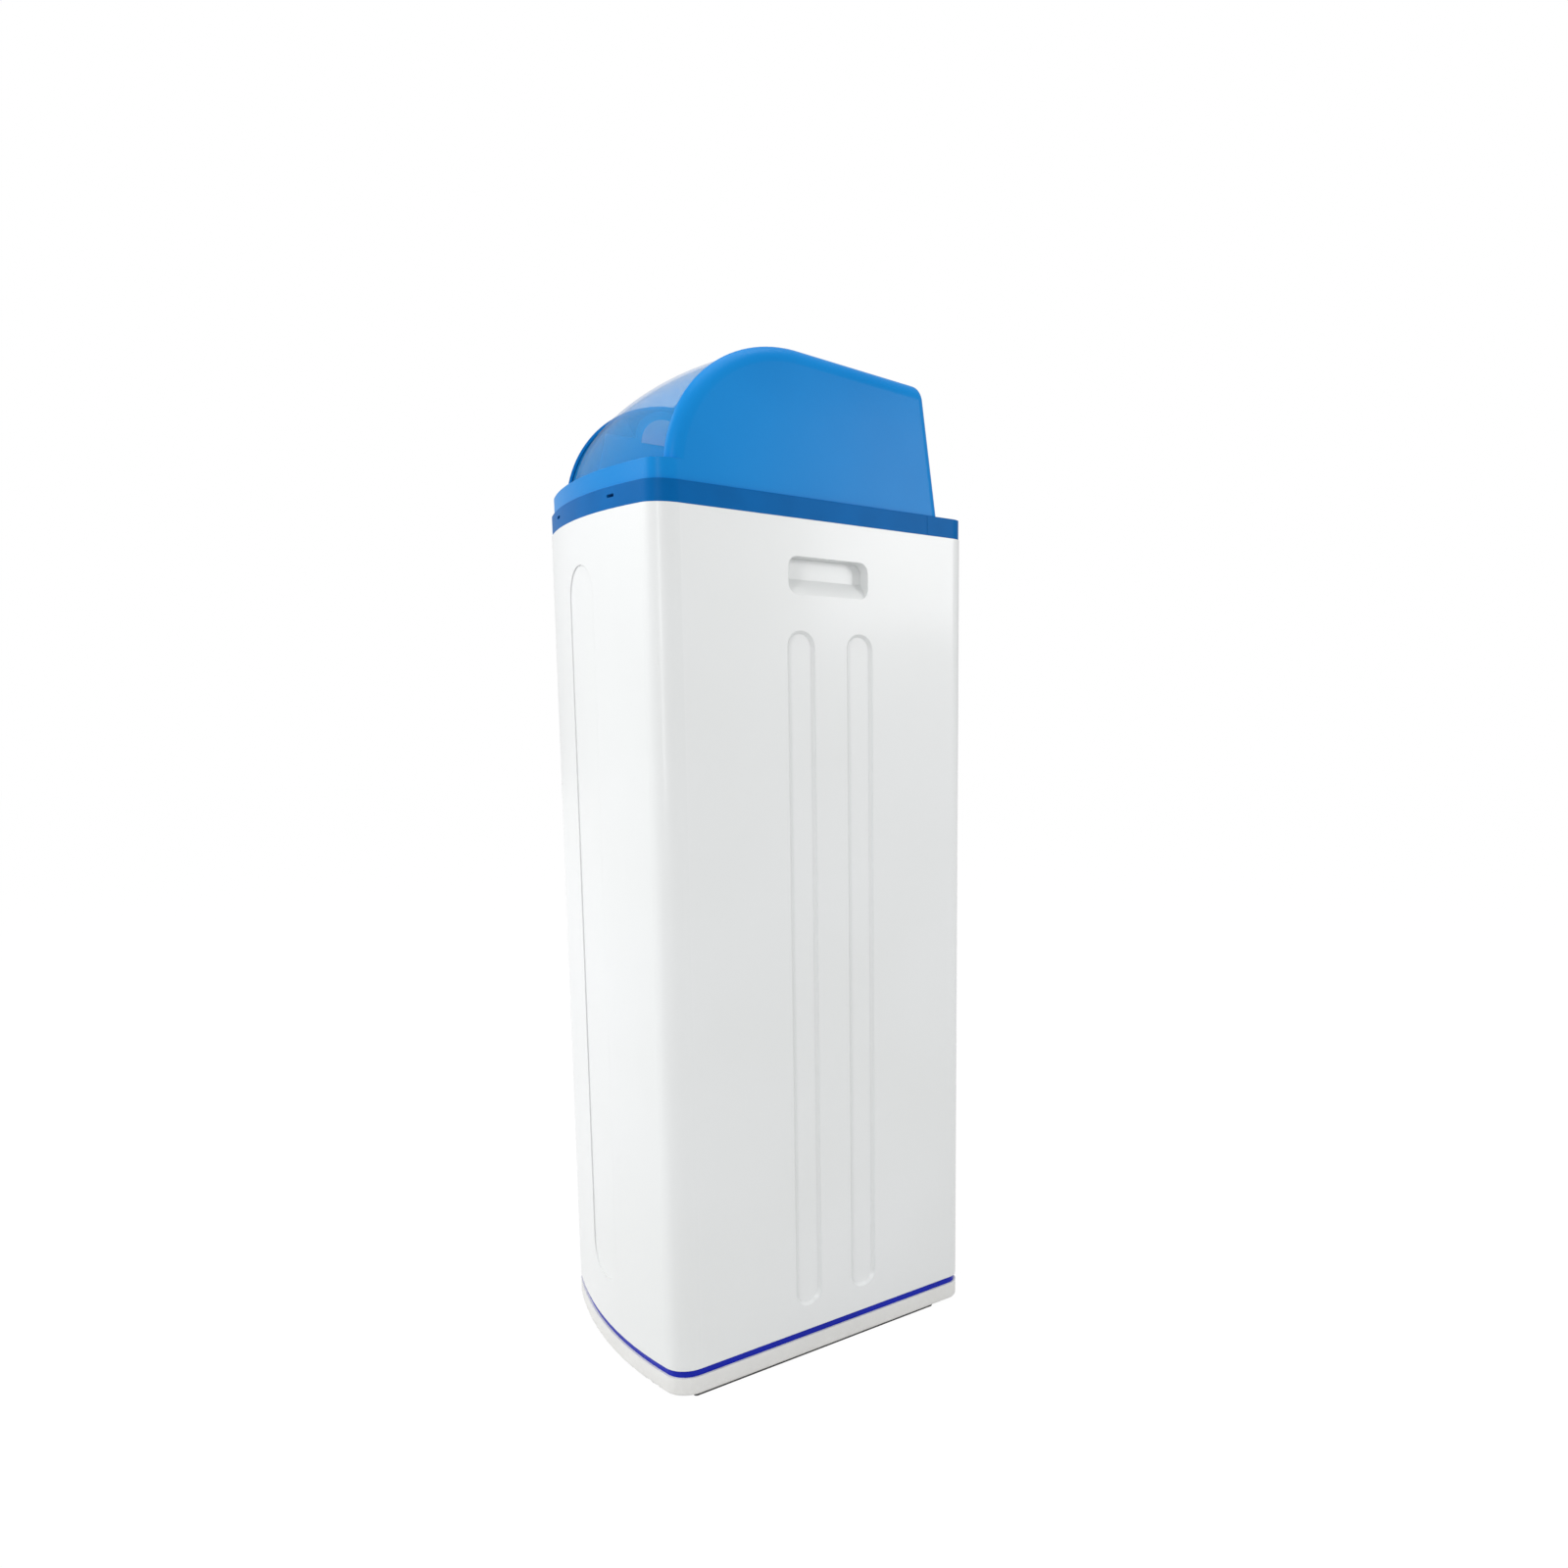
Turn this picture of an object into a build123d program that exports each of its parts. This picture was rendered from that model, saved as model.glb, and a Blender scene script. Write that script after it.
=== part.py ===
from build123d import *
import os
from math import atan2, cos, pi, radians, sin, sqrt, tan

# Cabinet water softener: a bowed white cabinet on a base tray, a blue frame and hood with a clear
# roll-back salt cover, and inside it the resin vessel, control valve, bypass and brine well.
# X runs to the right seen from the front, Y to the back and Z up. The origin is on the floor, under
# the middle of the cabinet. All sizes are in millimetres.

os.makedirs("parts", exist_ok=True)

overrun = 6.0
seat_gap = 0.3
running_gap = 0.05
face_gap = 0.2
half_turn = 180.0
quarter_turn = 90.0
third_turn = 120.0
hexagon = 6

# Cabinet shell, with its bowed front.
cabinet_width = 318.0
cabinet_depth = 398.0
cabinet_height = 907.0
front_bow = 22.0
front_corner = 31.0
rear_corner = 18.0
cabinet_wall = 4.0
rim_round = 1.2

# Base: rubber strips, tray and recessed blue band.
strip_height = 4.0
strip_width = 12.0
strip_length = 318.0
strip_inset = 5.0
tray_height = 20.5
tray_wall = 3.0
tray_round = 3.0
tray_rib = 2.5
tray_cross_ribs = 4
band_height = 8.5
band_inset = 2.5
band_width = 26.0

# Blue frame on top of the cabinet.
frame_height = 22.0
frame_inset = 1.0
frame_skirt = 3.0
frame_deck = 3.5
frame_lip = 12.0
frame_opening_border = 27.0
frame_opening_corner = 20.0
frame_seam_y = 145.0
frame_bar_y = -36.0
frame_bar_width = 12.0
latch_slot_length = 14.0
latch_slot_height = 3.2
latch_slot_x = 80.0
latch_slot_drop = 9.0

# Recesses in the cabinet's sides and front.
groove_width = 33.0
groove_bottom = 62.0
groove_top = 824.0
groove_depth = 4.0
groove_slope = 38.0
groove_front_y = -20.0
groove_rear_y = 53.0
pocket_length = 98.0
pocket_bottom = 862.0
pocket_top = 901.0
pocket_depth = 16.0
pocket_ramp = 17.0
pocket_corner = 11.0
pocket_y = 15.0
panel_width = 70.0
panel_bottom = 88.0
panel_top = 892.0
panel_corner = 34.0
panel_depth = 1.2

# Hood: rolled round the cover's pivot axis, then straight back to a leaning rear wall.
hood_inset = 4.0
hood_wall = 3.0
hood_radius = 152.0
hood_bow = 11.5
hood_edge_round = 18.0
hood_rear_round = 10.0
hood_lip = 20.5
pivot_y = -21.0
pivot_height = 9.0
roof_slope = 3.4
rear_foot_y = 164.0
rear_lean = 8.8
hood_rim = 11.0
cover_opening_high = 88.0
notch_half_width = 84.0
notch_height = 66.0
notch_corner = 12.0

# Clear cover and its pivots.
cover_gap = 1.2
cover_wall = 2.5
cover_side_gap = 0.6
cover_low = 5.0
cover_high = 97.0
ear_wall = 3.0
ear_low = 20.0
ear_high = 60.0
ear_hub = 7.5
pin_radius = 3.5
boss_radius = 8.0
boss_gap = 0.8
pin_end_gap = 0.5

# Blue liners inside the hood's cheeks.
liner_wall = 2.6
liner_gap = 1.0
liner_front_y = -150.0
liner_top_front_y = -114.0
liner_top_rear_y = 60.0
liner_rear_y = 88.0
liner_height = 102.0
liner_rear_height = 38.0
liner_lift = 2.0
liner_sag = 5.0
arch_y = -40.0
arch_outer = 37.0
arch_inner = 27.0
card_wall = 1.2
card_lap = 4.0
post_radius = 5.0
post_front_y = -118.0
post_rear_y = 75.0
post_lift = 13.0

# Small screws.
screw_radius = 2.0
screw_head_radius = 4.0
screw_head = 2.5
screw_length = 14.0
pilot_radius = 2.05
boss_corner_x = 148.5
boss_front_y = -152.0
boss_rear_y = 174.0
boss_outer = 7.0
rim_boss_height = 30.0
floor_boss_height = 16.0

# Pressure vessel of 10 by 35 inches, on its foot.
vessel_radius = 128.5
vessel_height = 889.0
vessel_wall = 4.0
vessel_y = 52.0
vessel_lift = 4.0
dome_height = 65.0
neck_radius = 36.5
neck_bore = 31.0
neck_height = 25.0
foot_radius = 126.0
foot_bore = 92.0
foot_height = 46.0
resin_level = 0.62
riser_radius = 13.35
riser_bore = 11.0
riser_lift = 12.0
riser_up = 30.0
basket_radius = 24.0
basket_height = 60.0
basket_wall = 2.5
basket_slots = 8
basket_slot_width = 3.0
basket_slot_height = 36.0
top_basket_radius = 26.0
top_basket_height = 46.0

# Control valve on the vessel's neck.
collar_radius = 49.0
collar_height = 18.0
collar_lip = 3.0
collar_grips = 12
collar_grip_radius = 4.0
valve_flange_radius = 44.0
valve_flange = 10.0
seal_radius = 1.8
column_radius = 36.0
column_height = 96.0
block_half_width = 56.0
block_front = 20.0
block_rear = 37.5
block_height = 36.0
block_corner = 4.0
port_height = 60.0
port_x = 38.0
port_radius = 19.0
port_stub = 4.5
port_bore = 10.0
port_bore_depth = 34.0
chamber_radius = 29.0
chamber_depth = 22.0
disc_radius = 28.2
disc_height = 5.0
disc_port_radius = 5.0
passage_radius = 4.0
disc_port_circle = 16.0
rotor_radius = 6.0
rotor_hub = 12.0
rotor_hub_height = 5.0
rotor_length = 42.0
cap_height = 4.0
cap_spigot = 8.0
cap_screw_circle = 32.5
cap_screws_count = 4
side_stub_radius = 9.0
side_stub = 6.0
injector_x = -45.0
injector_radius = 10.5
injector_length = 13.0

# Drive: a motor pinion turns the rotor's gear.
tooth_module = 2.5
gear_teeth = 30
pinion_teeth = 12
tooth_addendum_share = 0.7
tooth_dedendum_share = 0.95
tooth_play = 0.15
flank_steps = 3
pressure_angle = 20.0
gear_height = 6.0
gear_lift = 3.0
gear_hub = 11.0
gear_hub_height = 10.0
gear_window_radius = 7.0
gear_window_circle = 23.0
gear_windows = 5
mesh_angle = -50.0
plate_height = 3.0
plate_corner = 10.0
plate_clearance = 1.0
motor_radius = 15.0
motor_height = 18.0
motor_ear_x = 19.0
motor_ear_radius = 4.5
motor_ear_height = 3.0
motor_shaft = 2.5
motor_shaft_depth = 8.0

# Head housing and its leaning control face.
head_half_width = 80.0
head_front_y = -30.0
head_rear_y = 96.0
head_wall = 2.5
head_top_front_y = -2.0
head_front_height = 55.0
head_ridge_y = 60.0
head_ridge_height = 45.0
head_rear_height = 14.5
head_round = 6.0
face_width = 124.0
face_height = 48.0
face_wall = 2.0
face_corner = 8.0
face_hole_width = 108.0
face_hole_height = 38.0
window_width = 62.0
window_height = 22.0
window_y = 8.0
button_radius = 5.0
button_gap = 0.3
button_length = 5.0
button_proud = 1.2
button_flange = 6.6
button_flange_height = 1.2
button_travel = 1.0
button_pitch = 22.0
button_y = -11.0
button_count = 4
stud_radius = 2.0
board_wall = 1.6
socket_width = 12.0
socket_height = 10.0
socket_depth = 9.0
socket_radius = 3.0
socket_x = -55.0

# Bypass behind the valve.
bypass_gap = 0.3
bypass_flange_radius = 18.8
bypass_flange = 4.0
barrel_radius = 16.0
barrel_bore = 10.0
barrel_end_y = 210.0
cross_y = 128.0
cross_radius = 13.0
cross_bore = 8.0
plug_y = 184.0
plug_housing_radius = 17.5
plug_housing_low = 19.0
plug_housing_high = 20.0
plug_radius = 12.0
plug_length = 34.0
plug_bore = 9.0
stem_radius = 6.0
stem_height = 6.0
lever_length = 44.0
lever_width = 11.0
lever_height = 9.0
lever_hub = 12.5
thread_radius = 13.22
thread_length = 13.5
thread_relief = 0.5
tail_neck_radius = 12.7
union_radius = 23.0
union_length = 13.0
union_lip = 3.5
tail_collar = 3.5
clip_radius = 22.5
clip_length = 8.6
union_flats = 8

# Drain and brine fittings of the valve.
drain_x = 72.0
drain_radius = 6.0
drain_spigot_radius = 6.5
drain_spigot = 24.0
drain_end_y = 202.0
drain_bore = 4.5
brine_x = -74.0
brine_radius = 7.0
brine_drop = 24.0
brine_nut_radius = 9.5
brine_nut_height = 10.0
nut_lip = 3.0
hose_radius = 4.75
hose_bore = 3.2
hose_grip = 8.0
hose_seat = 8.0
hose_rise_y = -58.0
hose_top_z = 915.0
hose_bend = 20.0

# Brine well with its cap, float and valve.
well_x = -98.0
well_y = -122.0
well_radius = 42.0
well_wall = 3.0
well_height = 763.0
well_slots = 6
well_slot_width = 4.0
well_slot_height = 60.0
well_slot_lift = 20.0
well_cap_radius = 45.0
well_cap_height = 4.0
well_cap_skirt = 6.0
well_cap_knob_radius = 9.0
well_cap_knob = 10.0
brine_valve_drop = 13.0
brine_valve_length = 52.0
brine_valve_width = 24.0
brine_valve_height = 30.0
pickup_x = -18.0
pickup_radius = 5.0
pickup_bore = 3.5
pickup_grip = 12.0
float_x = 14.0
float_rod_radius = 2.5
float_radius = 20.0
float_height = 50.0
float_lift = 330.0
float_rod_lift = 60.0
rod_guide_gap = 0.3
rod_entry = 3.0
float_stop_radius = 6.0
float_stop_height = 3.0
check_radius = 13.0
check_height = 34.0
check_lift = 6.0
outlet_radius = 7.0
outlet_length = 34.0

# Salt grid over the brine.
grid_lift = 80.0
grid_wall = 4.0
grid_gap = 1.5
grid_leg_radius = 6.0
grid_leg_x = 126.0
grid_leg_rear_y = -62.0
grid_leg_front_y = -168.0
grid_rear_y = -44.0
grid_slot_length = 20.0
grid_slot_width = 4.5
grid_slot_x = 60.0
grid_slot_y = -130.0
grid_columns = 6
grid_rows = 5
grid_pitch_x = 26.0
grid_pitch_y = 14.0

# Overflow elbow through the rear wall.
overflow_x = -95.0
overflow_height = 690.0
overflow_radius = 10.5
overflow_gap = 0.3
overflow_flange_radius = 17.0
overflow_flange = 3.0
overflow_reach = 26.0
overflow_pipe_radius = 7.4
overflow_drop = 10.0
overflow_spigot_radius = 8.0
overflow_spigot_length = 20.0
overflow_bore = 6.0
overflow_nut_radius = 16.0
overflow_nut = 6.0

# Levels and places that follow from the sizes.
half_width = cabinet_width / 2
front_y = -cabinet_depth / 2
rear_y = cabinet_depth / 2
bow_radius = (half_width**2 + front_bow**2) / (2 * front_bow)
band_bottom = strip_height + tray_height
cabinet_bottom = band_bottom + band_height
cabinet_floor = cabinet_bottom + cabinet_wall
cabinet_top = cabinet_bottom + cabinet_height
frame_top = cabinet_top + frame_height
hood_bottom = frame_top + seat_gap
pivot_z = frame_top + pivot_height
hood_half_width = half_width - hood_inset
hood_inner = hood_half_width - hood_wall
cover_reach = hood_radius + overrun
crown_radius = (hood_half_width**2 + hood_bow**2) / (2 * hood_bow)
cover_opening = hood_half_width - hood_rim
cover_half_width = cover_opening - cover_side_gap
cover_inset = hood_wall + cover_gap
liner_outer = cover_half_width - ear_wall - liner_gap
liner_inner = liner_outer - liner_wall
vessel_bottom = cabinet_floor + vessel_lift
vessel_top = vessel_bottom + vessel_height
shoulder_z = vessel_top - neck_height - dome_height
base_dome_z = vessel_bottom + dome_height
collar_bottom = vessel_top - collar_height
port_z = vessel_top + port_height
column_top = vessel_top + column_height
chamber_floor = column_top - chamber_depth
cap_top = column_top + cap_height
plate_top = cap_top + plate_height
gear_z = plate_top + gear_lift
valve_rear_y = vessel_y + block_rear
port_face_y = valve_rear_y + port_stub
gear_radius = tooth_module * gear_teeth / 2
pinion_radius = tooth_module * pinion_teeth / 2
centre_distance = gear_radius + pinion_radius
motor_x = centre_distance * cos(radians(mesh_angle))
motor_y = vessel_y + centre_distance * sin(radians(mesh_angle))
well_bottom = cabinet_floor
well_top = well_bottom + well_height
brine_line_z = well_top - brine_valve_drop
brine_valve_top = brine_line_z + outlet_radius
brine_valve_bottom = brine_valve_top - brine_valve_height

on_base = (Align.CENTER, Align.CENTER, Align.MIN)
on_top = (Align.CENTER, Align.CENTER, Align.MAX)


def finish(piece, name):
    """Labels a finished piece and writes it under its name."""
    piece.part.label = name
    export_step(piece.part, f"parts/{name}.step")


def facing_back(x, y, z):
    """A plane that looks to the back."""
    return Plane(origin=(x, y, z), x_dir=(1, 0, 0), z_dir=(0, 1, 0))


def facing_side(side, x, y, z):
    """A plane that looks to the right (side 1) or the left (side -1), with Z up in it."""
    return Plane(origin=(x, y, z), x_dir=(0, side, 0), z_dir=(side, 0, 0))


def level(x, y, z):
    """A level plane."""
    return Plane(origin=(x, y, z))


def bar(plane, radius, length, mode=Mode.ADD):
    """A round bar from a plane along its normal."""
    with BuildSketch(plane) as disc:
        Circle(radius)
    extrude(disc.sketch, amount=length, mode=mode)


def tube(plane, radius, bore, length):
    """A round tube from a plane along its normal."""
    with BuildSketch(plane) as ring:
        Circle(radius)
        Circle(bore, mode=Mode.SUBTRACT)
    extrude(ring.sketch, amount=length)


def screw(plane, length):
    """A screw whose shank runs along the plane's normal and whose head lies behind the plane."""
    bar(plane, screw_radius, length)
    bar(plane, screw_head_radius, -screw_head)


def plan_outline(inset, height):
    """The cabinet's outline from above, pulled in by inset, at one height."""
    half = half_width - inset
    radius = bow_radius - inset
    corner_y = front_y + bow_radius - sqrt(radius**2 - half**2)
    with BuildSketch(level(0, 0, height)) as outline:
        with BuildLine():
            ThreePointArc((-half, corner_y), (0, front_y + inset), (half, corner_y))
            Polyline((half, corner_y), (half, rear_y - inset), (-half, rear_y - inset), (-half, corner_y))
        make_face()
        fillet(outline.vertices().group_by(Axis.Y)[0], front_corner - inset)
        fillet(outline.vertices().group_by(Axis.Y)[-1], rear_corner - inset)
    return outline.sketch


# Rubber strips under the tray, one along each side and one in the middle.
strip_x = half_width - strip_inset - strip_width / 2
with BuildPart() as foot_strips:
    with BuildSketch(level(0, 0, 0)):
        with Locations((-strip_x, 0), (0, 0), (strip_x, 0)):
            RectangleRounded(strip_width, strip_length, strip_width / 3)
    extrude(amount=strip_height)
finish(foot_strips, "foot_strips")

# Shallow tray, open underneath, with ribs and four screw holes.
corner_places = [
    (-boss_corner_x, boss_front_y),
    (boss_corner_x, boss_front_y),
    (-boss_corner_x, boss_rear_y),
    (boss_corner_x, boss_rear_y),
]
with BuildPart() as base_tray:
    extrude(plan_outline(0, strip_height), amount=tray_height)
    fillet(base_tray.faces().sort_by(Axis.Z)[0].edges(), tray_round)
    extrude(plan_outline(tray_wall, strip_height), amount=tray_height - tray_wall, mode=Mode.SUBTRACT)
    with BuildSketch(level(0, 0, strip_height)):
        add(plan_outline(tray_wall, 0))
        with BuildSketch(mode=Mode.INTERSECT):
            with GridLocations(cabinet_width / 4, 0, 3, 1):
                Rectangle(tray_rib, cabinet_depth)
            with GridLocations(0, cabinet_depth / (tray_cross_ribs + 1), 1, tray_cross_ribs):
                Rectangle(cabinet_width, tray_rib)
            with Locations((-strip_x, 0), (0, 0), (strip_x, 0)):
                Rectangle(strip_width + tray_rib, cabinet_depth)
    extrude(amount=tray_height - tray_wall)
    with Locations(*[(x, y, band_bottom) for x, y in corner_places]):
        Cylinder(boss_outer, tray_wall + tray_round, align=on_top)
        Cylinder(screw_radius + face_gap, tray_height, align=on_top, mode=Mode.SUBTRACT)
        with Locations((0, 0, -tray_wall)):
            Cylinder(screw_head_radius + face_gap, tray_height, align=on_top, mode=Mode.SUBTRACT)
finish(base_tray, "base_tray")

# Recessed band between the tray and the cabinet.
with BuildPart() as base_band:
    extrude(plan_outline(band_inset, band_bottom), amount=band_height)
    with BuildSketch(level(0, 0, band_bottom)):
        RectangleRounded(cabinet_width - 2 * band_width, cabinet_depth - 2 * band_width, front_corner)
    extrude(amount=band_height, mode=Mode.SUBTRACT)
    with Locations(*[(x, y, band_bottom) for x, y in corner_places]):
        Cylinder(screw_radius + face_gap, band_height, align=on_base, mode=Mode.SUBTRACT)
finish(base_band, "base_band")


def handle_pocket(side, grow, reach):
    """A hand pocket in one side: deep under its top edge, with a ramp up to its lower edge."""
    middle_z = (pocket_bottom + pocket_top) / 2
    with BuildPart() as pocket:
        with BuildSketch(facing_side(side, side * (half_width + reach), pocket_y, middle_z)):
            RectangleRounded(
                pocket_length + 2 * grow, pocket_top - pocket_bottom + 2 * grow, pocket_corner + grow
            )
        extrude(amount=-(pocket_depth + grow + reach))
        deep = pocket_depth + grow
        rise = pocket_ramp / pocket_depth
        with BuildSketch(Plane.XZ):
            with BuildLine():
                Polyline(
                    (side * (half_width + reach), pocket_bottom - grow - reach * rise),
                    (side * (half_width - deep), pocket_bottom - grow + deep * rise),
                    (side * (half_width - deep), pocket_top + grow),
                    (side * (half_width + reach), pocket_top + grow),
                    close=True,
                )
            make_face()
        extrude(amount=cabinet_depth, both=True, mode=Mode.INTERSECT)
    return pocket.part


def side_groove(side, y, grow, slope):
    """A long round-ended groove pressed into one side."""
    length = groove_top - groove_bottom
    inward = Plane(
        origin=(side * half_width, y, groove_bottom + length / 2), x_dir=(0, 0, 1), z_dir=(-side, 0, 0)
    )
    with BuildPart() as groove:
        with BuildSketch(inward):
            SlotOverall(length + 2 * grow, groove_width + 2 * grow)
        extrude(amount=groove_depth + grow, taper=slope)
    return groove.part


# Shallow panel in the bowed front.
with BuildPart() as front_panel:
    extrude(plan_outline(-overrun, panel_bottom - overrun), amount=panel_top - panel_bottom + 2 * overrun)
    extrude(
        plan_outline(panel_depth, panel_bottom - overrun),
        amount=panel_top - panel_bottom + 2 * overrun,
        mode=Mode.SUBTRACT,
    )
    with BuildSketch(facing_back(0, front_y - 2 * overrun, (panel_bottom + panel_top) / 2)):
        RectangleRounded(panel_width, panel_top - panel_bottom, panel_corner)
    extrude(amount=front_bow + 3 * overrun, mode=Mode.INTERSECT)

# Cabinet: thin walls that follow each recess inside, bosses for the screws and an overflow hole.
with BuildPart() as cabinet_body:
    extrude(plan_outline(0, cabinet_bottom), amount=cabinet_height)
    extrude(plan_outline(cabinet_wall, cabinet_floor), amount=cabinet_height, mode=Mode.SUBTRACT)
    for side in (-1, 1):
        add(handle_pocket(side, cabinet_wall, 0))
        add(handle_pocket(side, 0, overrun), mode=Mode.SUBTRACT)
        for y in (groove_front_y, groove_rear_y):
            add(side_groove(side, y, cabinet_wall, 0))
            add(side_groove(side, y, 0, groove_slope), mode=Mode.SUBTRACT)
    add(front_panel.part, mode=Mode.SUBTRACT)
    with Locations(*[(x, y, cabinet_bottom) for x, y in corner_places]):
        Cylinder(boss_outer, floor_boss_height, align=on_base)
        Cylinder(pilot_radius, floor_boss_height - cabinet_wall, align=on_base, mode=Mode.SUBTRACT)
    with Locations(*[(x, y, cabinet_top) for x, y in corner_places]):
        Cylinder(boss_outer, rim_boss_height, align=on_top)
        Cylinder(pilot_radius, rim_boss_height - cabinet_wall, align=on_top, mode=Mode.SUBTRACT)
    bar(facing_back(overflow_x, rear_y - overrun, overflow_height), overflow_radius + overflow_gap,
        2 * overrun, Mode.SUBTRACT)
finish(cabinet_body, "cabinet_body")


def frame_ring():
    """The frame before it is parted: a skirt and deck with a lip that drops into the cabinet."""
    border = frame_opening_border
    with BuildPart() as ring:
        extrude(plan_outline(frame_inset, cabinet_top), amount=frame_height)
        extrude(
            plan_outline(frame_inset + frame_skirt, cabinet_top),
            amount=frame_height - frame_deck,
            mode=Mode.SUBTRACT,
        )
        extrude(
            plan_outline(cabinet_wall + seat_gap, cabinet_top - frame_lip),
            amount=frame_lip + frame_height,
        )
        extrude(
            plan_outline(cabinet_wall + seat_gap + frame_skirt, cabinet_top - frame_lip),
            amount=frame_lip + frame_height - frame_deck,
            mode=Mode.SUBTRACT,
        )
        with BuildSketch(level(0, 0, frame_top - frame_deck)):
            RectangleRounded(cabinet_width - 2 * border, cabinet_depth - 2 * border, frame_opening_corner)
            with Locations((0, frame_bar_y)):
                Rectangle(cabinet_width, frame_bar_width, mode=Mode.SUBTRACT)
        extrude(amount=frame_deck, mode=Mode.SUBTRACT)
        with Locations(*[(x, y, cabinet_top) for x, y in corner_places]):
            Cylinder(boss_outer + seat_gap, frame_lip, align=on_top, mode=Mode.SUBTRACT)
        with Locations(*[(x, y, frame_top) for x, y in corner_places]):
            Cylinder(boss_outer, frame_height, align=on_top)
            Cylinder(screw_radius + face_gap, frame_height, align=on_top, mode=Mode.SUBTRACT)
            Cylinder(screw_head_radius + face_gap, frame_deck, align=on_top, mode=Mode.SUBTRACT)
        with BuildSketch(facing_back(0, front_y - overrun, frame_top - latch_slot_drop)):
            with Locations((-latch_slot_x, 0), (latch_slot_x, 0)):
                SlotOverall(latch_slot_length, latch_slot_height)
        extrude(amount=overrun + front_bow, mode=Mode.SUBTRACT)
    return ring.part


frame_whole = frame_ring()

# The frame's front and sides, up to the seam behind the hood's cheeks.
with BuildPart() as top_frame:
    add(frame_whole)
    split(bisect_by=facing_back(0, frame_seam_y - face_gap / 2, frame_top), keep=Keep.BOTTOM)
finish(top_frame, "top_frame")

# The frame's rear strip, taken off to pass the pipes.
with BuildPart() as rear_frame_strip:
    add(frame_whole)
    split(bisect_by=facing_back(0, frame_seam_y + face_gap / 2, frame_top), keep=Keep.TOP)
finish(rear_frame_strip, "rear_frame_strip")

# Screws of the casing: four up through the tray and four down through the frame.
with BuildPart() as casing_screws:
    for x, y in corner_places:
        screw(level(x, y, band_bottom - tray_wall), tray_wall + band_height + floor_boss_height / 2)
        screw(Plane(origin=(x, y, frame_top - frame_deck), x_dir=(1, 0, 0), z_dir=(0, 0, -1)),
              frame_height - frame_deck + screw_length)
finish(casing_screws, "casing_screws")


def hood_profile(inset):
    """The hood's section from cheek to cheek, over the pivot axis, in its own plane."""
    half = hood_half_width - inset
    crown = crown_radius - inset
    height = hood_radius - inset
    edge = height - crown + sqrt(crown**2 - half**2)
    with BuildSketch() as section:
        with BuildLine():
            ThreePointArc((-half, edge), (0, height), (half, edge))
            Polyline((half, edge), (half, 0), (-half, 0), (-half, edge))
        make_face()
        fillet(section.vertices().group_by(Axis.Y)[-1], hood_edge_round - inset)
    return section.sketch


front_plane = Plane(origin=(0, pivot_y, pivot_z), x_dir=(1, 0, 0), z_dir=(0, 0, -1))
roof_plane = Plane(
    origin=(0, pivot_y, pivot_z),
    x_dir=(1, 0, 0),
    z_dir=(0, -cos(radians(roof_slope)), sin(radians(roof_slope))),
)
cover_axis = Axis((0, pivot_y, pivot_z), (-1, 0, 0))


def hood_block(inset, bottom):
    """The hood's form, pulled in by inset: rolled front, sloping roof and leaning rear wall."""
    half = hood_half_width - inset
    reach = rear_foot_y - pivot_y
    with BuildPart() as block:
        with BuildSketch(front_plane):
            add(hood_profile(inset))
        revolve(axis=cover_axis, revolution_arc=quarter_turn + roof_slope)
        with BuildSketch(front_plane):
            add(hood_profile(inset))
        extrude(amount=pivot_z - bottom)
        with BuildSketch(roof_plane):
            add(hood_profile(inset))
        extrude(amount=-(reach + overrun))
        with BuildSketch(level(0, pivot_y + reach / 2, bottom)):
            Rectangle(2 * half, reach)
        extrude(amount=pivot_z - bottom)
        with BuildSketch(level(0, 0, bottom)):
            add(plan_outline(hood_inset + inset, 0))
            with Locations((0, pivot_y + cabinet_depth / 2)):
                Rectangle(cabinet_width, cabinet_depth, mode=Mode.SUBTRACT)
        extrude(amount=hood_bottom + hood_lip - inset - bottom)
        leaning = Plane(
            origin=(0, rear_foot_y - inset, frame_top),
            x_dir=(1, 0, 0),
            z_dir=(0, cos(radians(rear_lean)), sin(radians(rear_lean))),
        )
        split(bisect_by=leaning, keep=Keep.BOTTOM)
        split(bisect_by=level(0, 0, bottom), keep=Keep.TOP)
        rear_face = block.faces().sort_by(Axis.Y)[-1]
        fillet(rear_face.edges().sort_by(Axis.Z)[1:], hood_rear_round - inset)
    return block.part


def opening_block():
    """The space of the cover's opening: from the lip up and over to the roof."""
    with BuildPart() as opening:
        with BuildSketch(facing_side(1, 0, 0, 0)):
            with BuildLine():
                Polyline(
                    (front_y - overrun, hood_bottom + hood_lip),
                    (pivot_y, hood_bottom + hood_lip),
                    (pivot_y - cover_reach * cos(radians(cover_opening_high)),
                     pivot_z + cover_reach * sin(radians(cover_opening_high))),
                    (front_y - overrun, pivot_z + cover_reach * sin(radians(cover_opening_high))),
                    close=True,
                )
            make_face()
        extrude(amount=cover_opening, both=True)
    return opening.part


post_places = [(post_front_y, pivot_z + post_lift / 2), (post_rear_y, pivot_z + post_lift)]

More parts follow.
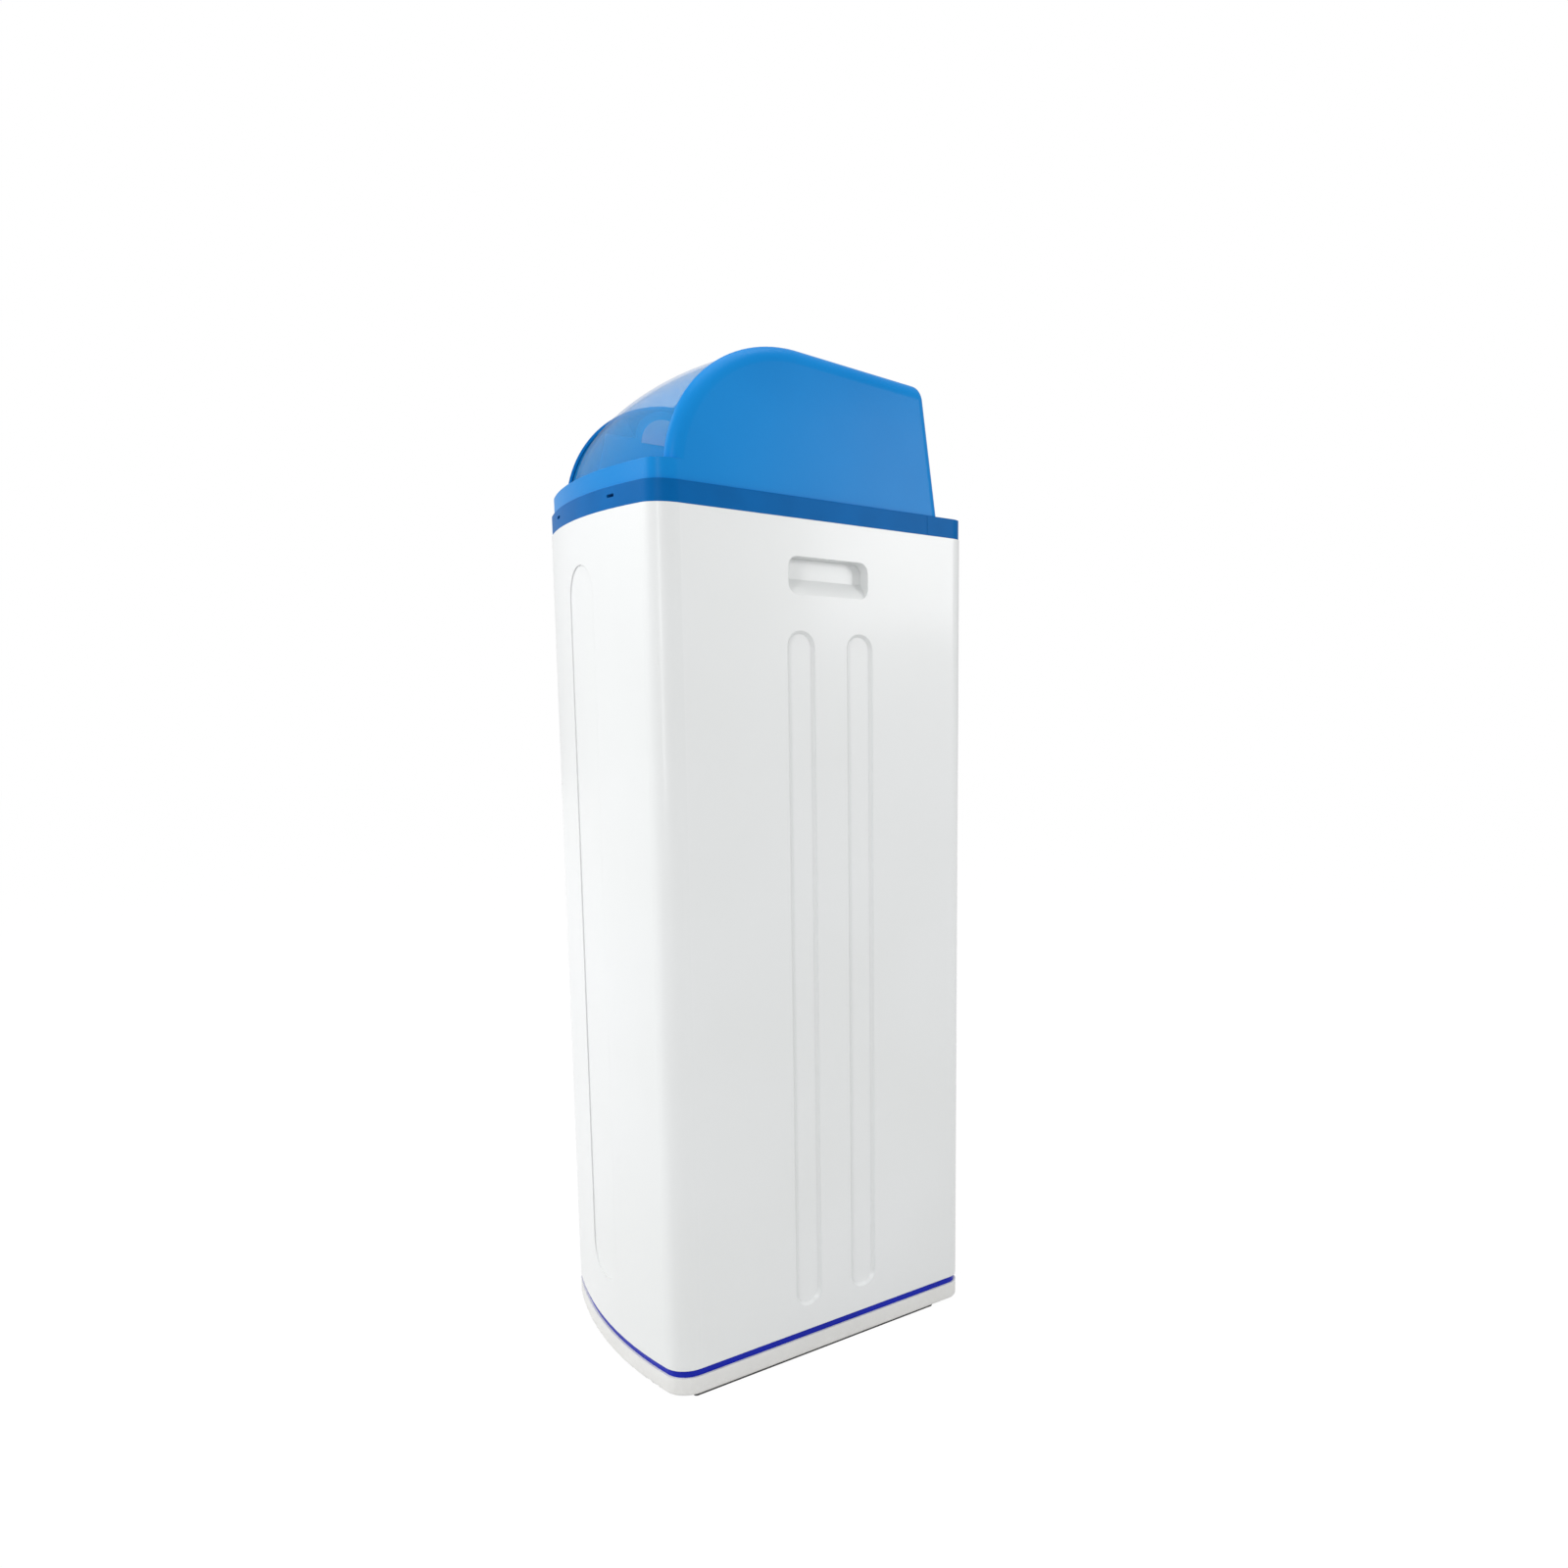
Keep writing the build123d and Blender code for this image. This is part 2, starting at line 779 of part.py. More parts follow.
# Hood: one thin moulding, open at the bottom, with the cover's opening and a notch for the pipes.
with BuildPart() as hood:
    add(hood_block(0, hood_bottom))
    add(hood_block(hood_wall, hood_bottom - overrun), mode=Mode.SUBTRACT)
    for side in (-1, 1):
        boss_x = side * (cover_half_width + boss_gap)
        bar(facing_side(side, boss_x, pivot_y, pivot_z), boss_radius, hood_inner - cover_half_width)
        for y, z in post_places:
            post_plane = facing_side(side, side * (liner_outer + face_gap), y, z)
            bar(post_plane, post_radius, hood_inner - liner_outer)
    split(bisect_by=level(0, 0, hood_bottom), keep=Keep.TOP)
    for side in (-1, 1):
        boss_x = side * (cover_half_width + boss_gap)
        bar(facing_side(side, boss_x, pivot_y, pivot_z), pin_radius + running_gap,
            hood_inner - cover_half_width - boss_gap, Mode.SUBTRACT)
        for y, z in post_places:
            bar(facing_side(side, side * liner_outer, y, z), pilot_radius, screw_length - liner_wall,
                Mode.SUBTRACT)
    add(opening_block(), mode=Mode.SUBTRACT)
    with BuildSketch(facing_back(0, rear_foot_y - hood_radius / 3, hood_bottom)):
        RectangleRounded(2 * notch_half_width, 2 * notch_height, notch_corner)
    extrude(amount=hood_radius, mode=Mode.SUBTRACT)
finish(hood, "hood")


def liner_shape(side):
    """A cheek liner: a trapezoid with a hollow front edge and an arch on top."""
    bottom_z = hood_bottom + liner_lift
    top_z = bottom_z + liner_height
    middle_y = (liner_front_y + liner_top_front_y) / 2 + liner_sag
    with BuildPart() as liner:
        with BuildSketch(facing_side(side, side * liner_inner, 0, 0)):
            with BuildLine():
                ThreePointArc(
                    (side * liner_front_y, bottom_z),
                    (side * middle_y, bottom_z + liner_height / 2),
                    (side * liner_top_front_y, top_z),
                )
                Polyline(
                    (side * liner_top_front_y, top_z),
                    (side * liner_top_rear_y, top_z),
                    (side * liner_rear_y, bottom_z + liner_rear_height),
                    (side * liner_rear_y, bottom_z),
                    (side * liner_front_y, bottom_z),
                )
            make_face()
            with Locations((side * arch_y, top_z)):
                Circle(arch_outer)
                Circle(arch_inner, mode=Mode.SUBTRACT)
            with Locations((side * arch_y, top_z - arch_outer / 2)):
                Rectangle(2 * arch_outer, arch_outer)
            for y, z in post_places:
                with Locations((side * y, z)):
                    Circle(screw_radius + face_gap, mode=Mode.SUBTRACT)
        extrude(amount=liner_wall)
    return liner


left_cheek_liner = liner_shape(-1)
finish(left_cheek_liner, "left_cheek_liner")
right_cheek_liner = liner_shape(1)
finish(right_cheek_liner, "right_cheek_liner")

# Bare pale cards behind the liners' arches.
with BuildPart() as liner_cards:
    arch_z = hood_bottom + liner_lift + liner_height
    for side in (-1, 1):
        card_x = side * (liner_inner - face_gap - card_wall)
        with BuildSketch(facing_side(side, card_x, arch_y, arch_z - card_lap)) as card:
            Circle(arch_inner + card_lap)
            with Locations((0, -arch_outer)):
                Rectangle(2 * arch_outer, 2 * arch_outer, mode=Mode.SUBTRACT)
        extrude(card.sketch, amount=card_wall)
finish(liner_cards, "liner_cards")

with BuildPart() as liner_screws:
    for side in (-1, 1):
        for y, z in post_places:
            screw(facing_side(side, side * liner_inner, y, z), screw_length)
finish(liner_screws, "liner_screws")

# Clear cover: a crowned skin between two ears that turn on the pivot pins.
cover_start = Plane(
    origin=(0, pivot_y, pivot_z),
    x_dir=(1, 0, 0),
    z_dir=(0, -sin(radians(cover_low)), -cos(radians(cover_low))),
)
ear_start = Plane(
    origin=(0, pivot_y, pivot_z),
    x_dir=(1, 0, 0),
    z_dir=(0, -sin(radians(ear_low)), -cos(radians(ear_low))),
)


def cover_section(plane, inside, half_from, half_to):
    """The cover's section, solid or as thin as its wall, between two half widths."""
    with BuildSketch(plane) as section:
        add(hood_profile(cover_inset))
        if inside:
            add(hood_profile(inside), mode=Mode.SUBTRACT)
        with Locations((0, hood_radius / 2 + overrun)):
            Rectangle(2 * half_to, hood_radius, mode=Mode.INTERSECT)
        if half_from:
            with Locations((0, hood_radius / 2)):
                Rectangle(2 * half_from, 2 * hood_radius, mode=Mode.SUBTRACT)
    return section.sketch


with BuildPart() as salt_cover:
    skin = cover_section(cover_start, cover_inset + cover_wall, 0, cover_half_width)
    revolve(skin, axis=cover_axis, revolution_arc=cover_high - cover_low)
    ears = cover_section(ear_start, 0, cover_half_width - ear_wall, cover_half_width)
    revolve(ears, axis=cover_axis, revolution_arc=ear_high - ear_low)
    for side in (-1, 1):
        ear_x = side * (cover_half_width - ear_wall)
        bar(facing_side(side, ear_x, pivot_y, pivot_z), ear_hub, ear_wall)
        bar(facing_side(side, ear_x - side * overrun, pivot_y, pivot_z), pin_radius,
            ear_wall + 2 * overrun, Mode.SUBTRACT)
finish(salt_cover, "salt_cover")

with BuildPart() as cover_pins:
    for side in (-1, 1):
        pin_x = side * (cover_half_width - ear_wall)
        bar(facing_side(side, pin_x, pivot_y, pivot_z), pin_radius, hood_inner - cover_half_width + ear_wall
            - pin_end_gap)
finish(cover_pins, "cover_pins")

# Foot ring that carries the vessel's rounded end.
vessel_plane = Plane(origin=(0, vessel_y, 0), x_dir=(1, 0, 0), z_dir=(0, -1, 0))
vessel_axis = Axis((0, vessel_y, 0), (0, 0, 1))


def vessel_form(grow, neck, neck_top):
    """The vessel's form grown by an amount, with a neck of one radius up to one height."""
    radius = vessel_radius + grow
    dome = dome_height + grow
    with BuildPart() as form:
        with BuildSketch(vessel_plane):
            with BuildLine():
                EllipticalCenterArc(
                    (0, base_dome_z), radius, dome,
                    start_angle=-quarter_turn, arc_size=quarter_turn,
                )
                Line((radius, base_dome_z), (radius, shoulder_z))
                EllipticalCenterArc((0, shoulder_z), radius, dome, start_angle=0, arc_size=quarter_turn)
                Line((0, shoulder_z + dome), (0, base_dome_z - dome))
            make_face()
        revolve(axis=vessel_axis)
        bar(level(0, vessel_y, shoulder_z), neck, neck_top - shoulder_z)
    return form.part


with BuildPart() as vessel_foot:
    tube(level(0, vessel_y, cabinet_floor), foot_radius, foot_bore, foot_height)
    add(vessel_form(seat_gap, neck_radius, vessel_top), mode=Mode.SUBTRACT)
finish(vessel_foot, "vessel_foot")

with BuildPart() as pressure_vessel:
    add(vessel_form(0, neck_radius, vessel_top))
    add(vessel_form(-vessel_wall, neck_bore, vessel_top + overrun), mode=Mode.SUBTRACT)
finish(pressure_vessel, "pressure_vessel")

# Basket at the foot of the riser tube, buried in the resin.
basket_z = vessel_bottom + vessel_wall + basket_wall
with BuildPart() as lower_basket:
    bar(level(0, vessel_y, basket_z), basket_radius, basket_height)
    bar(level(0, vessel_y, basket_z + basket_wall), basket_radius - basket_wall,
        basket_height - 2 * basket_wall, Mode.SUBTRACT)
    bar(level(0, vessel_y, basket_z + basket_height - overrun), riser_radius + running_gap,
        2 * overrun, Mode.SUBTRACT)
    with BuildSketch(level(0, vessel_y, basket_z + (basket_height - basket_slot_height) / 2)):
        with PolarLocations(0, basket_slots // 2, angular_range=half_turn):
            Rectangle(3 * basket_radius, basket_slot_width)
    extrude(amount=basket_slot_height, mode=Mode.SUBTRACT)
finish(lower_basket, "lower_basket")

riser_bottom = basket_z + riser_lift
riser_top = vessel_top + riser_up
with BuildPart() as riser_tube:
    tube(level(0, vessel_y, riser_bottom), riser_radius, riser_bore, riser_top - riser_bottom)
finish(riser_tube, "riser_tube")

with BuildPart() as resin_bed:
    add(vessel_form(-vessel_wall - face_gap, neck_bore - face_gap, vessel_top))
    split(bisect_by=level(0, 0, vessel_bottom + vessel_height * resin_level), keep=Keep.BOTTOM)
    bar(level(0, vessel_y, vessel_bottom), basket_radius + face_gap,
        basket_z + basket_height + face_gap - vessel_bottom, Mode.SUBTRACT)
    bar(level(0, vessel_y, vessel_bottom), riser_radius + face_gap, vessel_height, Mode.SUBTRACT)
finish(resin_bed, "resin_bed")

# Basket in the vessel's neck.
top_basket_z = vessel_top - top_basket_height
with BuildPart() as upper_basket:
    bar(level(0, vessel_y, top_basket_z), top_basket_radius, top_basket_height)
    bar(level(0, vessel_y, top_basket_z + basket_wall), top_basket_radius - basket_wall,
        top_basket_height, Mode.SUBTRACT)
    bar(level(0, vessel_y, top_basket_z - overrun), riser_radius + running_gap, 2 * overrun, Mode.SUBTRACT)
    with BuildSketch(level(0, vessel_y, top_basket_z + 2 * basket_wall)):
        with PolarLocations(0, basket_slots // 2, angular_range=half_turn):
            Rectangle(3 * top_basket_radius, basket_slot_width)
    extrude(amount=basket_slot_height - 2 * basket_wall, mode=Mode.SUBTRACT)
finish(upper_basket, "upper_basket")

# Collar that clamps the valve's flange onto the neck.
collar_length = collar_height + valve_flange + collar_lip
with BuildPart() as neck_collar:
    bar(level(0, vessel_y, collar_bottom), collar_radius, collar_length)
    bar(level(0, vessel_y, collar_bottom), neck_radius + face_gap, collar_length, Mode.SUBTRACT)
    bar(level(0, vessel_y, vessel_top), valve_flange_radius + face_gap, valve_flange + face_gap,
        Mode.SUBTRACT)
    with BuildSketch(level(0, vessel_y, collar_bottom)):
        with PolarLocations(collar_radius + collar_grip_radius / 2, collar_grips):
            Circle(collar_grip_radius)
    extrude(amount=collar_length, mode=Mode.SUBTRACT)
finish(neck_collar, "neck_collar")

seal_circle = (neck_radius + neck_bore) / 2
with BuildPart() as neck_seal:
    with Locations((0, vessel_y, vessel_top + seal_radius)):
        Torus(seal_circle, seal_radius)
finish(neck_seal, "neck_seal")

# Valve body: flange, column with the disc chamber, and the block with the ports.
with BuildPart() as valve_body:
    bar(level(0, vessel_y, vessel_top), valve_flange_radius, valve_flange)
    bar(level(0, vessel_y, vessel_top), column_radius, column_height)
    with BuildSketch(level(0, vessel_y + (block_rear - block_front) / 2, port_z - block_height / 2)):
        RectangleRounded(2 * block_half_width, block_front + block_rear, block_corner)
    extrude(amount=block_height)
    for side in (-1, 1):
        bar(facing_back(side * port_x, vessel_y, port_z), port_radius, port_face_y - vessel_y)
        bar(facing_side(side, 0, vessel_y, port_z), side_stub_radius, block_half_width + side_stub)
    for side in (-1, 1):
        bar(facing_back(side * port_x, port_face_y - port_bore_depth, port_z), port_bore,
            port_bore_depth, Mode.SUBTRACT)
        bar(facing_side(side, side * column_radius, vessel_y, port_z), drain_bore,
            block_half_width, Mode.SUBTRACT)
        bar(facing_side(side, 0, port_face_y - port_bore_depth + disc_port_radius, port_z),
            passage_radius, port_x, Mode.SUBTRACT)
    bar(level(0, vessel_y, vessel_top), riser_radius + running_gap, riser_up, Mode.SUBTRACT)
    bar(level(0, vessel_y, vessel_top), disc_port_radius, column_height, Mode.SUBTRACT)
    with BuildSketch(level(0, vessel_y, vessel_top)):
        Circle(seal_circle + seal_radius + running_gap)
        Circle(seal_circle - seal_radius - running_gap, mode=Mode.SUBTRACT)
    extrude(amount=2 * seal_radius, mode=Mode.SUBTRACT)
    with BuildSketch(level(0, vessel_y, port_z)):
        with PolarLocations(disc_port_circle, 3, start_angle=quarter_turn):
            Circle(disc_port_radius)
    extrude(amount=column_height, mode=Mode.SUBTRACT)
    bar(level(0, vessel_y, chamber_floor), chamber_radius, chamber_depth, Mode.SUBTRACT)
    with BuildSketch(level(0, vessel_y, column_top)):
        with PolarLocations(cap_screw_circle, cap_screws_count, start_angle=quarter_turn / 2):
            Circle(pilot_radius)
    extrude(amount=-screw_length, mode=Mode.SUBTRACT)
finish(valve_body, "valve_body")

with BuildPart() as fixed_disc:
    with BuildSketch(level(0, vessel_y, chamber_floor)):
        Circle(chamber_radius - running_gap)
        with PolarLocations(disc_port_circle, 3, start_angle=quarter_turn):
            Circle(disc_port_radius, mode=Mode.SUBTRACT)
        Circle(disc_port_radius, mode=Mode.SUBTRACT)
    extrude(amount=disc_height)
finish(fixed_disc, "fixed_disc")

# Rotor: a shaft, its hub and the moving disc under it.
moving_disc_z = chamber_floor + disc_height + running_gap
rotor_z = moving_disc_z + disc_height
with BuildPart() as valve_rotor:
    with BuildSketch(level(0, vessel_y, moving_disc_z)):
        Circle(disc_radius)
        with PolarLocations(disc_port_circle, 2, angular_range=third_turn, start_angle=quarter_turn):
            Circle(disc_port_radius, mode=Mode.SUBTRACT)
    extrude(amount=disc_height)
    bar(level(0, vessel_y, rotor_z), rotor_hub, rotor_hub_height)
    bar(level(0, vessel_y, rotor_z), rotor_radius, rotor_length)
finish(valve_rotor, "valve_rotor")

with BuildPart() as valve_cap:
    bar(level(0, vessel_y, column_top), column_radius, cap_height)
    bar(level(0, vessel_y, column_top), chamber_radius - running_gap, -cap_spigot)
    bar(level(0, vessel_y, column_top - cap_spigot), chamber_radius - cap_spigot, cap_spigot, Mode.SUBTRACT)
    bar(level(0, vessel_y, column_top - overrun), rotor_radius + running_gap, cap_height + 2 * overrun,
        Mode.SUBTRACT)
    with BuildSketch(level(0, vessel_y, column_top)):
        with PolarLocations(cap_screw_circle, cap_screws_count, start_angle=quarter_turn / 2):
            Circle(screw_radius + face_gap)
    extrude(amount=cap_height, mode=Mode.SUBTRACT)
finish(valve_cap, "valve_cap")

# Plate over the cap that carries the motor and the head.
plate_y = (head_front_y + head_rear_y) / 2
with BuildPart() as drive_plate:
    with BuildSketch(level(0, plate_y, cap_top)):
        RectangleRounded(2 * head_half_width, head_rear_y - head_front_y, plate_corner)
        with Locations((0, vessel_y - plate_y)):
            Circle(rotor_radius + plate_clearance, mode=Mode.SUBTRACT)
            with PolarLocations(cap_screw_circle, cap_screws_count, start_angle=quarter_turn / 2):
                Circle(screw_radius + face_gap, mode=Mode.SUBTRACT)
        with Locations((motor_x, motor_y - plate_y)):
            Circle(motor_shaft + plate_clearance, mode=Mode.SUBTRACT)
            for place in (-motor_ear_x, motor_ear_x):
                with Locations((place, 0)):
                    Circle(pilot_radius, mode=Mode.SUBTRACT)
    extrude(amount=plate_height)
finish(drive_plate, "drive_plate")

# Screws of the drive: four through the cap and two that hold the motor.
with BuildPart() as drive_screws:
    for step in range(cap_screws_count):
        angle = radians((step + 1 / 2) * 2 * half_turn / cap_screws_count)
        down = Plane(
            origin=(cap_screw_circle * cos(angle), vessel_y + cap_screw_circle * sin(angle), plate_top),
            x_dir=(1, 0, 0),
            z_dir=(0, 0, -1),
        )
        screw(down, plate_height + cap_height + screw_length - overrun)
    for place in (-motor_ear_x, motor_ear_x):
        down = Plane(origin=(motor_x + place, motor_y, plate_top), x_dir=(1, 0, 0), z_dir=(0, 0, -1))
        bar(down, screw_radius, plate_height + motor_ear_height)
        bar(down, screw_head_radius, -screw_head)
finish(drive_screws, "drive_screws")


def toothed_outline(teeth, turn):
    """The corners of a spur gear's outline, with one tooth pointing at an angle from X."""
    lean = radians(pressure_angle)
    pitch = tooth_module * teeth / 2
    base = pitch * cos(lean)
    tip = pitch + tooth_module * tooth_addendum_share
    root = pitch - tooth_module * tooth_dedendum_share
    low = max(base, root)
    half = pi / (2 * teeth) - tooth_play / (2 * pitch) + tan(lean) - lean
    flank = []
    for step in range(flank_steps + 1):
        radius = low + (tip - low) * step / flank_steps
        roll = sqrt((radius / base) ** 2 - 1)
        flank.append((radius, half - roll + atan2(roll, 1)))
    corners = []
    for tooth in range(teeth):
        centre = radians(turn) + 2 * pi * tooth / teeth
        points = [(root, -half)] + [(radius, -spread) for radius, spread in flank]
        points = points + [(radius, spread) for radius, spread in reversed(flank)] + [(root, half)]
        if base < root:
            points = points[1:-1]
        corners = corners + [(r * cos(centre + a), r * sin(centre + a)) for r, a in points]
    return corners


with BuildPart() as rotor_gear:
    with BuildSketch(level(0, vessel_y, gear_z)) as wheel:
        with BuildLine():
            Polyline(*toothed_outline(gear_teeth, mesh_angle), close=True)
        make_face()
        with PolarLocations(gear_window_circle, gear_windows):
            Circle(gear_window_radius, mode=Mode.SUBTRACT)
    extrude(wheel.sketch, amount=gear_height)
    bar(level(0, vessel_y, gear_z), gear_hub, gear_hub_height)
    bar(level(0, vessel_y, gear_z), rotor_radius, gear_hub_height, Mode.SUBTRACT)
finish(rotor_gear, "rotor_gear")

pinion_turn = mesh_angle + half_turn + half_turn / pinion_teeth
with BuildPart() as motor_pinion:
    with BuildSketch(level(motor_x, motor_y, gear_z)) as wheel:
        with BuildLine():
            Polyline(*toothed_outline(pinion_teeth, pinion_turn), close=True)
        make_face()
    extrude(wheel.sketch, amount=gear_height)
    bar(level(motor_x, motor_y, gear_z), motor_shaft, cap_top - motor_shaft_depth - gear_z)
finish(motor_pinion, "motor_pinion")

with BuildPart() as drive_motor:
    bar(level(motor_x, motor_y, cap_top), motor_radius, -motor_height)
    with BuildSketch(level(motor_x, motor_y, cap_top)):
        SlotOverall(2 * (motor_ear_x + motor_ear_radius), 2 * motor_ear_radius)
        for place in (-motor_ear_x, motor_ear_x):
            with Locations((place, 0)):
                Circle(pilot_radius, mode=Mode.SUBTRACT)
    extrude(amount=-motor_ear_height)
    bar(level(motor_x, motor_y, cap_top), motor_shaft + running_gap, -motor_shaft_depth - running_gap,
        Mode.SUBTRACT)
finish(drive_motor, "drive_motor")

with BuildPart() as injector_cap:
    nozzle = Plane(origin=(injector_x, vessel_y - block_front, port_z), x_dir=(1, 0, 0), z_dir=(0, -1, 0))
    bar(nozzle, injector_radius, injector_length)
    with BuildSketch(nozzle.offset(injector_length)):
        RegularPolygon(injector_radius / 2, hexagon)
    extrude(amount=-injector_length / 2, mode=Mode.SUBTRACT)
finish(injector_cap, "injector_cap")


def head_outline(inset, drop):
    """The head's outline from the side, pulled in by inset and carried down by drop."""
    lean = (head_top_front_y - head_front_y) / head_front_height
    with BuildSketch(facing_side(1, 0, 0, 0)) as outline:
        with BuildLine():
            Polyline(
                (head_front_y - drop * lean, plate_top - drop),
                (head_top_front_y, plate_top + head_front_height),
                (head_ridge_y, plate_top + head_ridge_height),
                (head_rear_y, plate_top + head_rear_height),
                (head_rear_y, plate_top - drop),
                close=True,
            )
        make_face()
        if inset:
            offset(amount=-inset, kind=Kind.INTERSECTION)
    return outline.sketch


head_middle_y = (head_front_y + head_top_front_y) / 2
face_plane = Plane(
    origin=(0, head_middle_y, plate_top + head_front_height / 2),
    x_dir=(1, 0, 0),
    z_dir=(0, -head_front_height, head_top_front_y - head_front_y),
)

# Head housing over the drive, open underneath, with an opening for the control face.
with BuildPart() as head_housing:
    extrude(head_outline(0, 0), amount=head_half_width, both=True)
    fillet(head_housing.edges().filter_by(Axis.X).group_by(Axis.Z)[1:], head_round)
    extrude(head_outline(head_wall, overrun), amount=head_half_width - head_wall, both=True,
            mode=Mode.SUBTRACT)
    with BuildSketch(face_plane):
        RectangleRounded(face_hole_width, face_hole_height, head_wall)
    extrude(amount=-head_wall - overrun, mode=Mode.SUBTRACT)
    with BuildSketch(facing_back(socket_x, head_rear_y - overrun, plate_top + socket_height)):
        Rectangle(socket_width - 2 * face_wall, socket_height - 2 * face_wall)
    extrude(amount=2 * overrun, mode=Mode.SUBTRACT)
finish(head_housing, "head_housing")

button_places = [((step - (button_count - 1) / 2) * button_pitch, button_y) for step in range(button_count)]
board_depth = button_length - button_proud - face_wall + button_travel + seat_gap
with BuildPart() as control_face:
    with BuildSketch(face_plane):
        RectangleRounded(face_width, face_height, face_corner)
        with Locations((0, window_y)):
            Rectangle(window_width, window_height, mode=Mode.SUBTRACT)
        with Locations(*button_places):
            Circle(button_radius + button_gap, mode=Mode.SUBTRACT)
    extrude(amount=face_wall)
    with BuildSketch(face_plane):
        with GridLocations(face_hole_width - 4 * stud_radius, face_hole_height - 4 * stud_radius, 2, 2):
            Circle(stud_radius)
    extrude(amount=-board_depth)
finish(control_face, "control_face")

with BuildPart() as display_window:
    with BuildSketch(face_plane):
        with Locations((0, window_y)):
            Rectangle(window_width - face_gap, window_height - face_gap)
    extrude(amount=face_wall)
finish(display_window, "display_window")

with BuildPart() as control_board:
    with BuildSketch(face_plane.offset(-board_depth)):
        Rectangle(face_hole_width - 2 * face_wall, face_hole_height - 2 * face_wall)
    extrude(amount=-board_wall)
    with BuildSketch(face_plane.offset(-board_depth)):
        with Locations((0, window_y)):
            Rectangle(window_width - 2 * face_wall, window_height - 2 * face_wall)
    extrude(amount=board_depth - seat_gap)
finish(control_board, "control_board")

for step, (x, y) in enumerate(button_places):
    with BuildPart() as push_button:
        with BuildSketch(face_plane.offset(face_wall + button_proud)):
            with Locations((x, y)):
                Circle(button_radius)
        extrude(amount=-button_length)
        with BuildSketch(face_plane.offset(-button_gap)):
            with Locations((x, y)):
                Circle(button_flange)
        extrude(amount=-button_flange_height)
    finish(push_button, f"push_button_{step + 1}")

# Low-voltage socket at the back of the head.
with BuildPart() as power_socket:
    with BuildSketch(facing_back(socket_x, head_rear_y, plate_top + socket_height)):
        RectangleRounded(socket_width, socket_height, face_wall)
    extrude(amount=socket_depth)
    with BuildSketch(facing_back(socket_x, head_rear_y, plate_top + socket_height)):
        Circle(socket_radius)
    extrude(amount=socket_depth, mode=Mode.SUBTRACT)
finish(power_socket, "power_socket")

# Bypass: two barrels, a cross tube between them and two upright plug housings.
bypass_face_y = port_face_y + bypass_gap
barrel_length = barrel_end_y - bypass_face_y
plug_bottom = port_z - plug_length / 2
with BuildPart() as bypass_body:
    for side in (-1, 1):
        bar(facing_back(side * port_x, bypass_face_y, port_z), barrel_radius, barrel_length)
        bar(facing_back(side * port_x, bypass_face_y, port_z), bypass_flange_radius, bypass_flange)
        bar(level(side * port_x, plug_y, port_z - plug_housing_low), plug_housing_radius,
            plug_housing_low + plug_housing_high)
    bar(facing_side(1, -port_x, cross_y, port_z), cross_radius, 2 * port_x)
    for side in (-1, 1):
        bar(facing_back(side * port_x, bypass_face_y, port_z), barrel_bore, barrel_length, Mode.SUBTRACT)
        bar(level(side * port_x, plug_y, plug_bottom), plug_radius + running_gap, plug_length, Mode.SUBTRACT)
        bar(level(side * port_x, plug_y, port_z), plug_radius + running_gap, plug_length, Mode.SUBTRACT)
    bar(facing_side(1, -port_x, cross_y, port_z), cross_bore, 2 * port_x, Mode.SUBTRACT)
finish(bypass_body, "bypass_body")

with BuildPart() as port_clips:
    for side in (-1, 1):
        tube(facing_back(side * port_x, port_face_y - clip_length / 2, port_z), clip_radius,
             port_radius + face_gap, clip_length)
finish(port_clips, "port_clips")

# Levers, each one piece with the plug that it turns.
plug_top = port_z + plug_housing_high
for side, word in ((-1, "left"), (1, "right")):
    with BuildPart() as bypass_lever:
        lever_z = plug_top + stem_height
        bar(level(side * port_x, plug_y, lever_z), lever_hub, lever_height)
        with BuildSketch(level(side * port_x, plug_y + lever_length / 2, lever_z)):
            RectangleRounded(lever_width, lever_length, lever_width / 3)
        extrude(amount=lever_height)
        fillet(bypass_lever.faces().sort_by(Axis.Z)[-1].edges(), rim_round)
        bar(level(side * port_x, plug_y, plug_bottom + running_gap), plug_radius,
            plug_top - plug_bottom - running_gap)
        bar(level(side * port_x, plug_y, plug_top), stem_radius, stem_height)
        bar(facing_back(side * port_x, plug_y - plug_radius, port_z), plug_bore, 2 * plug_radius,
            Mode.SUBTRACT)
    finish(bypass_lever, f"bypass_lever_{word}")

tail_start = barrel_end_y + face_gap
lip_start = tail_start + tail_collar + face_gap
nut_start = lip_start + union_lip - union_length
with BuildPart() as union_nuts:
    for side in (-1, 1):
        with BuildSketch(facing_back(side * port_x, nut_start, port_z)) as ring:
            RegularPolygon(union_radius, union_flats)
            Circle(barrel_radius + face_gap, mode=Mode.SUBTRACT)
        extrude(ring.sketch, amount=union_length - union_lip)
        with BuildSketch(facing_back(side * port_x, lip_start, port_z)) as ring:
            RegularPolygon(union_radius, union_flats)
            Circle(thread_radius + face_gap, mode=Mode.SUBTRACT)
        extrude(ring.sketch, amount=union_lip)
finish(union_nuts, "union_nuts")

tail_neck = lip_start + union_lip + thread_relief - tail_start
with BuildPart() as pipe_tails:
    for side in (-1, 1):
        tube(facing_back(side * port_x, tail_start, port_z), tail_neck_radius, barrel_bore, tail_neck)
        tube(facing_back(side * port_x, tail_start + tail_neck, port_z), thread_radius, barrel_bore,
             thread_length)
        tube(facing_back(side * port_x, tail_start, port_z), barrel_radius, barrel_bore, tail_collar)
finish(pipe_tails, "pipe_tails")

